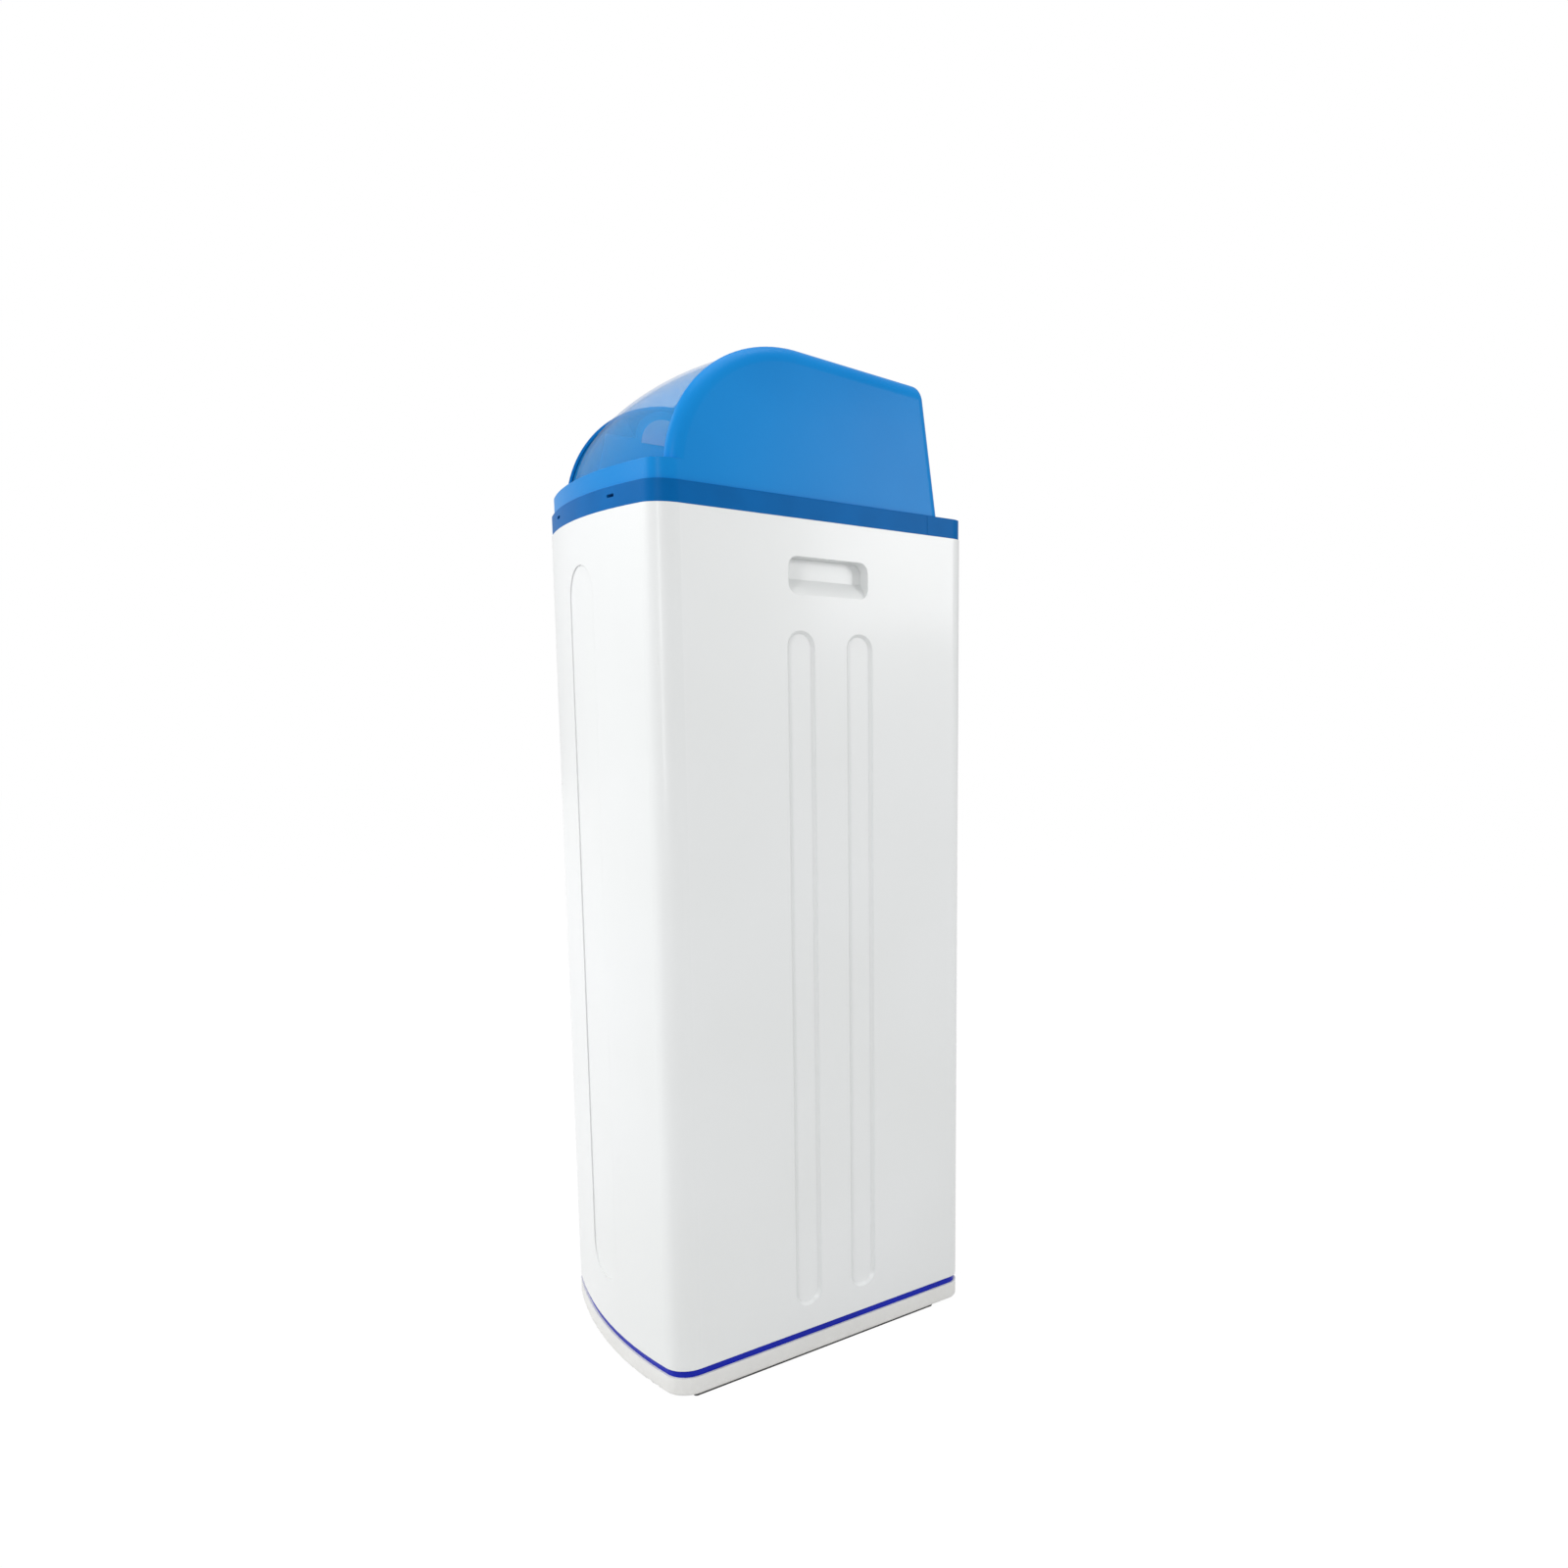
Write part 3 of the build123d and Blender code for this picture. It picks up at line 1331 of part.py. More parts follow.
# Drain elbow on the valve's right side, with its hose end behind the cabinet.
stub_face = block_half_width + side_stub + bypass_gap
with BuildPart() as drain_elbow:
    bar(facing_side(1, stub_face, vessel_y, port_z), side_stub_radius, union_lip)
    bar(facing_side(1, stub_face, vessel_y, port_z), drain_radius, drain_x - stub_face)
    bar(facing_back(drain_x, vessel_y - drain_radius, port_z), drain_radius,
        drain_end_y - vessel_y + drain_radius)
    bar(facing_back(drain_x, drain_end_y - drain_spigot, port_z), drain_spigot_radius, drain_spigot)
    bar(facing_side(1, stub_face, vessel_y, port_z), drain_bore, drain_x - stub_face, Mode.SUBTRACT)
    bar(facing_back(drain_x, vessel_y, port_z), drain_bore, drain_end_y - vessel_y, Mode.SUBTRACT)
finish(drain_elbow, "drain_elbow")

# Brine elbow on the left side, with its nut and the line to the brine well.
elbow_end_z = port_z - brine_drop
with BuildPart() as brine_elbow:
    bar(facing_side(-1, -stub_face, vessel_y, port_z), side_stub_radius, union_lip)
    bar(facing_side(-1, -stub_face, vessel_y, port_z), brine_radius, -brine_x - stub_face)
    bar(level(brine_x, vessel_y, port_z + brine_radius), brine_radius, -brine_drop - brine_radius)
    bar(facing_side(-1, -stub_face, vessel_y, port_z), hose_bore, -brine_x - stub_face, Mode.SUBTRACT)
    bar(level(brine_x, vessel_y, port_z), hose_bore, -brine_drop, Mode.SUBTRACT)
    bar(level(brine_x, vessel_y, elbow_end_z), hose_radius + running_gap, hose_grip, Mode.SUBTRACT)
finish(brine_elbow, "brine_elbow")

nut_lip_z = elbow_end_z - face_gap - nut_lip
with BuildPart() as brine_nut:
    with BuildSketch(level(brine_x, vessel_y, nut_lip_z)):
        RegularPolygon(brine_nut_radius, hexagon)
    extrude(amount=brine_nut_height)
    bar(level(brine_x, vessel_y, nut_lip_z), hose_radius + face_gap, brine_nut_height, Mode.SUBTRACT)
    bar(level(brine_x, vessel_y, nut_lip_z + nut_lip), brine_radius + face_gap, brine_nut_height,
        Mode.SUBTRACT)
finish(brine_nut, "brine_nut")

hose_start_y = well_y + brine_valve_width / 2 + hose_seat
with BuildPart() as brine_line:
    with BuildLine() as run:
        FilletPolyline(
            (well_x, hose_start_y, brine_line_z),
            (well_x, hose_rise_y, brine_line_z),
            (well_x, hose_rise_y, hose_top_z),
            (brine_x, vessel_y, hose_top_z),
            (brine_x, vessel_y, elbow_end_z + hose_grip),
            radius=hose_bend,
        )
    with BuildSketch(facing_back(well_x, hose_start_y, brine_line_z)):
        Circle(hose_radius)
        Circle(hose_bore, mode=Mode.SUBTRACT)
    sweep(path=run.wires()[0])
finish(brine_line, "brine_line")

# Slotted brine well, standing in the salt.
with BuildPart() as brine_well:
    tube(level(well_x, well_y, well_bottom), well_radius, well_radius - well_wall, well_height)
    with BuildSketch(level(well_x, well_y, well_bottom + well_slot_lift)):
        with PolarLocations(0, well_slots // 2, angular_range=half_turn):
            Rectangle(3 * well_radius, well_slot_width)
    extrude(amount=well_slot_height, mode=Mode.SUBTRACT)
    with BuildSketch(facing_back(well_x, well_y, well_top)):
        Rectangle(2 * (outlet_radius + face_gap), 2 * (brine_valve_drop + outlet_radius))
    extrude(amount=well_radius + overrun, mode=Mode.SUBTRACT)
finish(brine_well, "brine_well")

with BuildPart() as well_cap:
    bar(level(well_x, well_y, well_top), well_cap_radius, well_cap_height)
    bar(level(well_x, well_y, well_top), well_radius - well_wall - seat_gap, -well_cap_skirt)
    bar(level(well_x, well_y, well_top - well_cap_skirt), well_radius - 2 * well_wall, well_cap_skirt,
        Mode.SUBTRACT)
    bar(level(well_x, well_y, well_top + well_cap_height), well_cap_knob_radius, well_cap_knob)
    fillet(well_cap.faces().sort_by(Axis.Z)[-1].edges(), rim_round)
    with BuildSketch(facing_back(well_x, well_y, well_top - well_cap_skirt)):
        Rectangle(3 * outlet_radius, 2 * well_cap_skirt - face_gap)
    extrude(amount=well_radius - well_wall, mode=Mode.SUBTRACT)
finish(well_cap, "well_cap")

# Brine valve hung in the well's notch, with its pickup tube, check and float.
with BuildPart() as brine_valve:
    with BuildSketch(level(well_x, well_y, brine_valve_bottom)):
        RectangleRounded(brine_valve_length, brine_valve_width, brine_valve_width / 4)
    extrude(amount=brine_valve_height)
    bar(facing_back(well_x, well_y, brine_line_z), outlet_radius, brine_valve_width / 2 + outlet_length)
    bar(facing_back(well_x, well_y, brine_line_z), hose_bore, brine_valve_width / 2 + outlet_length,
        Mode.SUBTRACT)
    bar(facing_back(well_x, hose_start_y, brine_line_z), hose_radius + running_gap, outlet_length,
        Mode.SUBTRACT)
    bar(facing_side(1, well_x + pickup_x, well_y, brine_line_z), hose_bore, -pickup_x, Mode.SUBTRACT)
    bar(level(well_x + pickup_x, well_y, brine_valve_bottom), hose_bore, brine_valve_height / 2,
        Mode.SUBTRACT)
    bar(level(well_x + pickup_x, well_y, brine_valve_bottom), pickup_radius + running_gap, pickup_grip,
        Mode.SUBTRACT)
    bar(level(well_x + float_x, well_y, brine_valve_bottom), float_rod_radius + rod_guide_gap,
        brine_valve_height, Mode.SUBTRACT)
finish(brine_valve, "brine_valve")

check_z = well_bottom + check_lift
with BuildPart() as pickup_tube:
    tube(level(well_x + pickup_x, well_y, check_z), pickup_radius, pickup_bore,
         brine_valve_bottom + pickup_grip - check_z)
    tube(level(well_x + pickup_x, well_y, check_z), check_radius, pickup_bore, check_height)
finish(pickup_tube, "pickup_tube")

float_z = well_bottom + float_lift
with BuildPart() as float_rod:
    bar(level(well_x + float_x, well_y, well_bottom + float_rod_lift), float_rod_radius,
        brine_valve_bottom + rod_entry - well_bottom - float_rod_lift)
    for z in (float_z - float_stop_height, float_z + float_height):
        bar(level(well_x + float_x, well_y, z), float_stop_radius, float_stop_height)
finish(float_rod, "float_rod")

with BuildPart() as well_float:
    tube(level(well_x + float_x, well_y, float_z), float_radius, float_rod_radius + running_gap, float_height)
    fillet(well_float.edges().filter_by(GeomType.CIRCLE).group_by(SortBy.RADIUS)[-1], 2 * rim_round)
finish(well_float, "well_float")

# Salt grid on legs, round the vessel and the brine well.
grid_z = cabinet_floor + grid_lift
grid_inset = cabinet_wall + grid_gap
leg_places = [(-grid_leg_x, grid_leg_rear_y), (grid_leg_x, grid_leg_rear_y), (0, grid_leg_front_y),
              (grid_leg_x, grid_leg_front_y)]
with BuildPart() as salt_grid:
    with BuildSketch(level(0, 0, grid_z)) as plate:
        add(plan_outline(grid_inset, 0))
        with Locations((0, grid_rear_y + cabinet_depth / 2)):
            Rectangle(cabinet_width, cabinet_depth, mode=Mode.SUBTRACT)
        with Locations((0, vessel_y)):
            Circle(vessel_radius + grid_gap, mode=Mode.SUBTRACT)
        with Locations((well_x, well_y)):
            Circle(well_radius + grid_gap, mode=Mode.SUBTRACT)
        with Locations((grid_slot_x, grid_slot_y)):
            with GridLocations(grid_pitch_x, grid_pitch_y, grid_columns, grid_rows):
                SlotOverall(grid_slot_length, grid_slot_width, mode=Mode.SUBTRACT)
    extrude(plate.sketch, amount=grid_wall)
    for x, y in leg_places:
        bar(level(x, y, cabinet_floor), grid_leg_radius, grid_lift + grid_wall)
finish(salt_grid, "salt_grid")

# Overflow elbow through the cabinet's rear wall.
flange_y = rear_y
elbow_y = flange_y + overflow_flange + overflow_reach
with BuildPart() as overflow_elbow:
    inner_y = rear_y - cabinet_wall - 2 * overflow_nut
    bar(facing_back(overflow_x, inner_y, overflow_height), overflow_radius, flange_y - inner_y)
    bar(facing_back(overflow_x, flange_y, overflow_height), overflow_flange_radius, overflow_flange)
    bar(facing_back(overflow_x, flange_y, overflow_height), overflow_pipe_radius,
        elbow_y - flange_y + overflow_pipe_radius)
    bar(level(overflow_x, elbow_y, overflow_height), overflow_pipe_radius, -overflow_drop)
    bar(level(overflow_x, elbow_y, overflow_height - overflow_drop), overflow_spigot_radius,
        -overflow_spigot_length)
    bar(facing_back(overflow_x, inner_y, overflow_height), overflow_bore, elbow_y - inner_y, Mode.SUBTRACT)
    bar(level(overflow_x, elbow_y, overflow_height), overflow_bore, -overflow_drop - overflow_spigot_length,
        Mode.SUBTRACT)
finish(overflow_elbow, "overflow_elbow")

with BuildPart() as overflow_nut_ring:
    with BuildSketch(facing_back(overflow_x, rear_y - cabinet_wall, overflow_height)) as ring:
        RegularPolygon(overflow_nut_radius, hexagon)
        Circle(overflow_radius + face_gap, mode=Mode.SUBTRACT)
    extrude(ring.sketch, amount=-overflow_nut)
finish(overflow_nut_ring, "overflow_nut")
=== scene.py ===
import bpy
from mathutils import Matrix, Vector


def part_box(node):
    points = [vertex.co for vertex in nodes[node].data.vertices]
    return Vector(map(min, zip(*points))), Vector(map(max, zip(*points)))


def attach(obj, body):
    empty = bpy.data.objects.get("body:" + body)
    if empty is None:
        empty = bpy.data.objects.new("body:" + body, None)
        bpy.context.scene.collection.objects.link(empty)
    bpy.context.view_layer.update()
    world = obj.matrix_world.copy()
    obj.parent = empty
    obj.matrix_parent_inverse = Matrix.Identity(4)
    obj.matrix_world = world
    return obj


bl_info = {
    "name": "Water softener finishes",
    "version": (1, 0, 0),
    "blender": (4, 5, 0),
    "location": "View3D > Sidebar > Softener",
    "description": "Finishes, small turned details, studio and camera for a cabinet water softener",
    "category": "Object",
}

from math import cos, pi, sin

import bmesh
import bpy
from bpy.props import FloatProperty, FloatVectorProperty, IntProperty, PointerProperty
from bpy.types import Operator, Panel, PropertyGroup
from mathutils import Matrix, Vector

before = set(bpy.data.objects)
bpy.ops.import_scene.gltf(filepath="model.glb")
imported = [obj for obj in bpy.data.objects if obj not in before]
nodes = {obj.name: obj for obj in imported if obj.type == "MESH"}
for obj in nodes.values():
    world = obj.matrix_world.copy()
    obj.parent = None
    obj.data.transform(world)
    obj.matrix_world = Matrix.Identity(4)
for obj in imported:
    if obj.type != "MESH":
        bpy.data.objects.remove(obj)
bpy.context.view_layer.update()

# Screws through the corners of the frame's deck and of the base tray.
SCREW_CORNER_X = 0.1485
SCREW_FRONT_Y = -0.152
SCREW_REAR_Y = 0.174
# Size and lift of the flat dark crosses that paint the shade in the screws' slots.
CROSS_LENGTH = 0.0042
CROSS_WIDTH = 0.0009
CROSS_LIFT = 0.00004

# Outer end of a pipe tail, and its thread as shares of the pitch and of the depth.
TAIL_RADIUS = 0.01322
STEPS_PER_TURN = 64
THREAD_HALF = 0.36
THREAD_FOOT = -0.05
THREAD_ROOT = -0.4

# Grain and bevel of most finishes, in metres.
FINE_GRAIN = 0.0009
FINE_DEPTH = 0.00001
SOFT_EDGE = 0.0006

# Studio: the floor's half size, the camera's sensor in millimetres and its clipping in metres.
FLOOR_HALF = 12.0
SENSOR_WIDTH = 36.0
CLIP_NEAR = 0.05
CLIP_FAR = 60.0


def colour(name, description, default):
    """A colour that a user can change."""
    return FloatVectorProperty(
        name=name, description=description, subtype="COLOR", size=3, min=0.0, max=1.0, default=default
    )


def length(name, description, default):
    """A length in metres that a user can change."""
    return FloatProperty(name=name, description=description, unit="LENGTH", min=0.0, default=default)


def share(name, description, default):
    """A share from nought to one that a user can change."""
    return FloatProperty(name=name, description=description, subtype="FACTOR", min=0.0, max=1.0, default=default)


class CabinetFinish(PropertyGroup):
    shell_white: colour("Shell white", "White of the moulded cabinet", (0.84, 0.855, 0.86))
    shell_shade: colour("Shell shade", "White of the cabinet where it drifts", (0.80, 0.815, 0.81))
    tray_grey: colour("Tray grey", "Off-white of the base tray", (0.84, 0.84, 0.82))
    band_blue: colour("Band blue", "Royal blue of the band over the tray", (0.0, 0.012, 0.44))
    strip_black: colour("Strip black", "Rubber of the foot strips", (0.02, 0.02, 0.022))
    grain: length("Grain", "Size of the grain moulded in the shell", 0.0011)
    grain_depth: length("Grain depth", "Depth of that grain", 0.000012)
    gloss: share("Roughness", "Roughness of the shell", 0.36)


class HoodFinish(PropertyGroup):
    hood_blue: colour("Hood blue", "Blue of the moulded hood", (0.003, 0.215, 0.600))
    hood_pale: colour("Hood pale", "Blue where the moulding drifts paler", (0.006, 0.245, 0.660))
    frame_blue: colour("Frame blue", "Blue of the frame under the hood", (0.001, 0.115, 0.365))
    liner_blue: colour("Liner blue", "Blue of the cheek liners", (0.006, 0.330, 0.860))
    # The two card colours are painted highlight: the cards stand in for a bright highlight on the cheek liners.
    highlight_card_white: colour("Highlight card white", "Pale top of the cards that paint a highlight", (0.86, 0.82, 0.88))
    highlight_card_pink: colour("Highlight card pink", "Pink foot of the cards that paint a highlight", (0.95, 0.66, 0.74))
    cover_tint: colour("Cover tint", "Tint of the clear cover", (0.030, 0.390, 0.880))
    cover_veil: share("Cover veil", "How much each face of the clear cover hides", 0.33)
    grain: length("Grain", "Size of the grain moulded in the hood", 0.0016)
    grain_depth: length("Grain depth", "Depth of that grain", 0.00002)
    gloss: share("Roughness", "Roughness of the hood", 0.30)


class WorksFinish(PropertyGroup):
    black: colour("Black plastic", "Glass-filled black of the valve and bypass", (0.022, 0.023, 0.025))
    grey: colour("Grey plastic", "Grey of the small fittings", (0.26, 0.27, 0.28))
    head_grey: colour("Head grey", "Dark grey of the valve's head", (0.13, 0.15, 0.19))
    face_white: colour("Face white", "White of the control face", (0.80, 0.81, 0.82))
    button_grey: colour("Button grey", "Soft grey of the buttons", (0.22, 0.25, 0.30))
    white: colour("White plastic", "White of the gears and tubes", (0.78, 0.78, 0.76))
    lever_blue: colour("Lever blue", "Blue of the bypass levers", (0.010, 0.090, 0.460))
    board_green: colour("Board green", "Green of the circuit board", (0.015, 0.14, 0.05))
    steel: colour("Steel", "Plated steel of the screws and clips", (0.60, 0.61, 0.62))
    brass: colour("Brass", "Brass of the unions", (0.66, 0.47, 0.20))
    resin: colour("Resin", "Amber of the resin beads", (0.50, 0.25, 0.06))
    vessel_blue: colour("Vessel blue", "Wound shell of the pressure vessel", (0.36, 0.45, 0.52))
    thread_pitch: length("Thread pitch", "Pitch of the pipe tails' thread", 0.0018)
    thread_depth: length("Thread depth", "Depth of the pipe tails' thread", 0.0005)


class StudioSetting(PropertyGroup):
    eye: FloatVectorProperty(
        name="Eye", description="Place of the camera", subtype="TRANSLATION", size=3,
        default=(1.23537, -0.62141, 0.72910),
    )
    turn: FloatProperty(name="Turn", description="Turn of the view to the left", unit="ROTATION", default=0.9046)
    tilt: FloatProperty(name="Tilt", description="Tilt of the view down", unit="ROTATION", default=0.1286)
    roll: FloatProperty(name="Roll", description="Roll of the view", unit="ROTATION", default=0.0078)
    focal: FloatProperty(name="Focal length", description="In pixels of the photograph", default=1146.15)
    centre_u: FloatProperty(name="Centre across", description="Pixel that the lens points at", default=1000.0)
    centre_v: FloatProperty(name="Centre down", description="Pixel that the lens points at", default=885.0)
    picture: IntProperty(name="Picture", description="Side of the photograph in pixels", default=1600)
    sky: FloatProperty(name="Sky", description="Strength of the soft light all round", default=0.60)
    key: FloatProperty(name="Key", description="Power of the soft light at the front left, in watts", default=44.0)
    side: FloatProperty(name="Side", description="Power of the soft light at the right, in watts", default=16.0)
    strip: FloatProperty(name="Strip", description="Power of the tall light at the front, in watts", default=12.0)
    top: FloatProperty(name="Top", description="Power of the soft light overhead, in watts", default=16.0)
    floor_shade: share("Floor shade", "How much of the floor's shadow shows", 0.06)


def put(tree, kind, inputs=None, **settings):
    """Adds a node with its settings and the values of its inputs."""
    made = tree.nodes.new(kind)
    for key, value in settings.items():
        setattr(made, key, value)
    for key, value in (inputs or {}).items():
        made.inputs[key].default_value = value
    return made


def join(tree, *pairs):
    """Links outputs to inputs, given as pairs of sockets."""
    for source, target in pairs:
        tree.links.new(source, target)


def new_group(name, inputs, outputs):
    """An empty node group with named sockets, and its two end nodes."""
    tree = bpy.data.node_groups.new(name, "ShaderNodeTree")
    for label, kind, value in inputs:
        made = tree.interface.new_socket(name=label, in_out="INPUT", socket_type=kind)
        if value is not None:
            made.default_value = value
    for label, kind in outputs:
        tree.interface.new_socket(name=label, in_out="OUTPUT", socket_type=kind)
    return tree, tree.nodes.new("NodeGroupInput"), tree.nodes.new("NodeGroupOutput")


def shared(name, build):
    """The node group of that name, built the first time it is wanted."""
    return bpy.data.node_groups.get(name) or build(name)


def colour_mixer(tree, first=None, second=None):
    """A mixer of two colours: its factor, its two colours and its result."""
    mixer = put(tree, "ShaderNodeMix", data_type="RGBA")
    one, two = [s for s in mixer.inputs if s.type == "RGBA"]
    result = [s for s in mixer.outputs if s.type == "RGBA"][0]
    for socket, value in ((one, first), (two, second)):
        if value is not None:
            socket.default_value = four(value)
    return mixer.inputs[0], one, two, result


def sized_place(tree, size_socket):
    """The place on the object divided by a size, for a texture of that size."""
    place = put(tree, "ShaderNodeTexCoord")
    divide = put(tree, "ShaderNodeVectorMath", operation="DIVIDE")
    spread = put(tree, "ShaderNodeCombineXYZ")
    join(
        tree,
        (size_socket, spread.inputs[0]),
        (size_socket, spread.inputs[1]),
        (size_socket, spread.inputs[2]),
        (place.outputs["Object"], divide.inputs[0]),
        (spread.outputs[0], divide.inputs[1]),
    )
    return divide.outputs[0]


def build_moulded_skin(name):
    """Fine moulded grain over rounded edges, and a roughness that drifts a little."""
    tree, start, end = new_group(
        name,
        [
            ("Grain", "NodeSocketFloat", 0.001),
            ("Depth", "NodeSocketFloat", 0.00001),
            ("Edge", "NodeSocketFloat", 0.0008),
            ("Roughness", "NodeSocketFloat", 0.4),
            ("Drift", "NodeSocketFloat", 0.05),
        ],
        [("Roughness", "NodeSocketFloat"), ("Normal", "NodeSocketVector")],
    )
    fine = put(tree, "ShaderNodeTexNoise", {"Scale": 1.0, "Detail": 3.0})
    broad = put(tree, "ShaderNodeTexNoise", {"Scale": 9.0, "Detail": 2.0})
    place = put(tree, "ShaderNodeTexCoord")
    edge = put(tree, "ShaderNodeBevel", samples=4)
    bump = put(tree, "ShaderNodeBump", {"Strength": 1.0})
    centred = put(tree, "ShaderNodeMath", {1: 0.5}, operation="SUBTRACT")
    scaled = put(tree, "ShaderNodeMath", operation="MULTIPLY")
    total = put(tree, "ShaderNodeMath", operation="ADD", use_clamp=True)
    join(
        tree,
        (sized_place(tree, start.outputs["Grain"]), fine.inputs["Vector"]),
        (fine.outputs[0], bump.inputs["Height"]),
        (start.outputs["Depth"], bump.inputs["Distance"]),
        (start.outputs["Edge"], edge.inputs["Radius"]),
        (edge.outputs[0], bump.inputs["Normal"]),
        (bump.outputs[0], end.inputs["Normal"]),
        (place.outputs["Object"], broad.inputs["Vector"]),
        (broad.outputs[0], centred.inputs[0]),
        (centred.outputs[0], scaled.inputs[0]),
        (start.outputs["Drift"], scaled.inputs[1]),
        (scaled.outputs[0], total.inputs[0]),
        (start.outputs["Roughness"], total.inputs[1]),
        (total.outputs[0], end.inputs["Roughness"]),
    )
    return tree


def build_colour_drift(name):
    """One colour that drifts softly into another over broad patches."""
    tree, start, end = new_group(
        name,
        [
            ("Colour", "NodeSocketColor", None),
            ("Second", "NodeSocketColor", None),
            ("Patch", "NodeSocketFloat", 0.2),
        ],
        [("Colour", "NodeSocketColor")],
    )
    noise = put(tree, "ShaderNodeTexNoise", {"Scale": 1.0, "Detail": 2.0})
    spread = put(tree, "ShaderNodeMapRange", {"From Min": 0.3, "From Max": 0.7})
    factor, one, two, result = colour_mixer(tree)
    join(
        tree,
        (sized_place(tree, start.outputs["Patch"]), noise.inputs["Vector"]),
        (noise.outputs[0], spread.inputs["Value"]),
        (spread.outputs[0], factor),
        (start.outputs["Colour"], one),
        (start.outputs["Second"], two),
        (result, end.inputs["Colour"]),
    )
    return tree


def build_floor_dust(name):
    """A mask of dust that thins out with height above the floor."""
    tree, start, end = new_group(
        name,
        [("Height", "NodeSocketFloat", 0.05), ("Amount", "NodeSocketFloat", 0.3)],
        [("Dust", "NodeSocketFloat")],
    )
    place = put(tree, "ShaderNodeTexCoord")
    parts = put(tree, "ShaderNodeSeparateXYZ")
    fade = put(tree, "ShaderNodeMapRange", {"From Min": 0.0, "To Min": 1.0, "To Max": 0.0})
    speck = put(tree, "ShaderNodeTexNoise", {"Scale": 160.0, "Detail": 4.0})
    mixed = put(tree, "ShaderNodeMath", operation="MULTIPLY")
    amount = put(tree, "ShaderNodeMath", operation="MULTIPLY", use_clamp=True)
    join(
        tree,
        (place.outputs["Object"], parts.inputs[0]),
        (parts.outputs["Z"], fade.inputs["Value"]),
        (start.outputs["Height"], fade.inputs["From Max"]),
        (place.outputs["Object"], speck.inputs["Vector"]),
        (fade.outputs[0], mixed.inputs[0]),
        (speck.outputs[0], mixed.inputs[1]),
        (mixed.outputs[0], amount.inputs[0]),
        (start.outputs["Amount"], amount.inputs[1]),
        (amount.outputs[0], end.inputs["Dust"]),
    )
    return tree


def build_brushing(name):
    """Fine turning marks: roughness and normal that run round or along the metal."""
    tree, start, end = new_group(
        name,
        [
            ("Stretch", "NodeSocketVector", (1.0, 1.0, 1.0)),
            ("Depth", "NodeSocketFloat", 0.000004),
            ("Roughness", "NodeSocketFloat", 0.3),
        ],
        [("Roughness", "NodeSocketFloat"), ("Normal", "NodeSocketVector")],
    )
    place = put(tree, "ShaderNodeTexCoord")
    stretch = put(tree, "ShaderNodeVectorMath", operation="MULTIPLY")
    noise = put(tree, "ShaderNodeTexNoise", {"Scale": 400.0, "Detail": 3.0})
    centred = put(tree, "ShaderNodeMapRange", {"To Min": -0.08, "To Max": 0.12})
    total = put(tree, "ShaderNodeMath", operation="ADD", use_clamp=True)
    edge = put(tree, "ShaderNodeBevel", {"Radius": 0.0004}, samples=4)
    bump = put(tree, "ShaderNodeBump", {"Strength": 1.0})
    join(
        tree,
        (place.outputs["Object"], stretch.inputs[0]),
        (start.outputs["Stretch"], stretch.inputs[1]),
        (stretch.outputs[0], noise.inputs["Vector"]),
        (noise.outputs[0], centred.inputs["Value"]),
        (centred.outputs[0], total.inputs[0]),
        (start.outputs["Roughness"], total.inputs[1]),
        (total.outputs[0], end.inputs["Roughness"]),
        (noise.outputs[0], bump.inputs["Height"]),
        (start.outputs["Depth"], bump.inputs["Distance"]),
        (edge.outputs[0], bump.inputs["Normal"]),
        (bump.outputs[0], end.inputs["Normal"]),
    )
    return tree


def build_winding(name):
    """Crossed windings of fibre round an upright vessel: a mask and a height."""
    tree, start, end = new_group(
        name,
        [("Pitch", "NodeSocketFloat", 0.006)],
        [("Strand", "NodeSocketFloat"), ("Height", "NodeSocketFloat")],
    )
    place = sized_place(tree, start.outputs["Pitch"])
    parts = put(tree, "ShaderNodeSeparateXYZ")
    across = put(tree, "ShaderNodeMath", operation="ADD")
    waves = []
    for lean in (0.45, -0.45):
        tilted = put(tree, "ShaderNodeMath", {1: lean}, operation="MULTIPLY")
        summed = put(tree, "ShaderNodeMath", operation="ADD")
        wave = put(tree, "ShaderNodeMath", operation="SINE")
        join(
            tree,
            (across.outputs[0], tilted.inputs[0]),
            (tilted.outputs[0], summed.inputs[0]),
            (parts.outputs["Z"], summed.inputs[1]),
            (summed.outputs[0], wave.inputs[0]),
        )
        waves.append(wave)
    crossed = put(tree, "ShaderNodeMath", operation="MAXIMUM")
    fibres = put(tree, "ShaderNodeTexNoise", {"Scale": 2.0, "Detail": 4.0})
    mixed = put(tree, "ShaderNodeMath", operation="MULTIPLY")
    join(
        tree,
        (place, parts.inputs[0]),
        (parts.outputs["X"], across.inputs[0]),
        (parts.outputs["Y"], across.inputs[1]),
        (waves[0].outputs[0], crossed.inputs[0]),
        (waves[1].outputs[0], crossed.inputs[1]),
        (place, fibres.inputs["Vector"]),
        (crossed.outputs[0], mixed.inputs[0]),
        (fibres.outputs[0], mixed.inputs[1]),
        (mixed.outputs[0], end.inputs["Strand"]),
        (crossed.outputs[0], end.inputs["Height"]),
    )
    return tree


def new_finish(name):
    """A material with an empty tree, its Principled shader and its output joined."""
    made = bpy.data.materials.new(name)
    made.use_nodes = True
    tree = made.node_tree
    tree.nodes.clear()
    shader = put(tree, "ShaderNodeBsdfPrincipled")
    out = put(tree, "ShaderNodeOutputMaterial")
    join(tree, (shader.outputs[0], out.inputs["Surface"]))
    return made, tree, shader


def four(rgb):
    """A colour with its alpha."""
    return (rgb[0], rgb[1], rgb[2], 1.0)


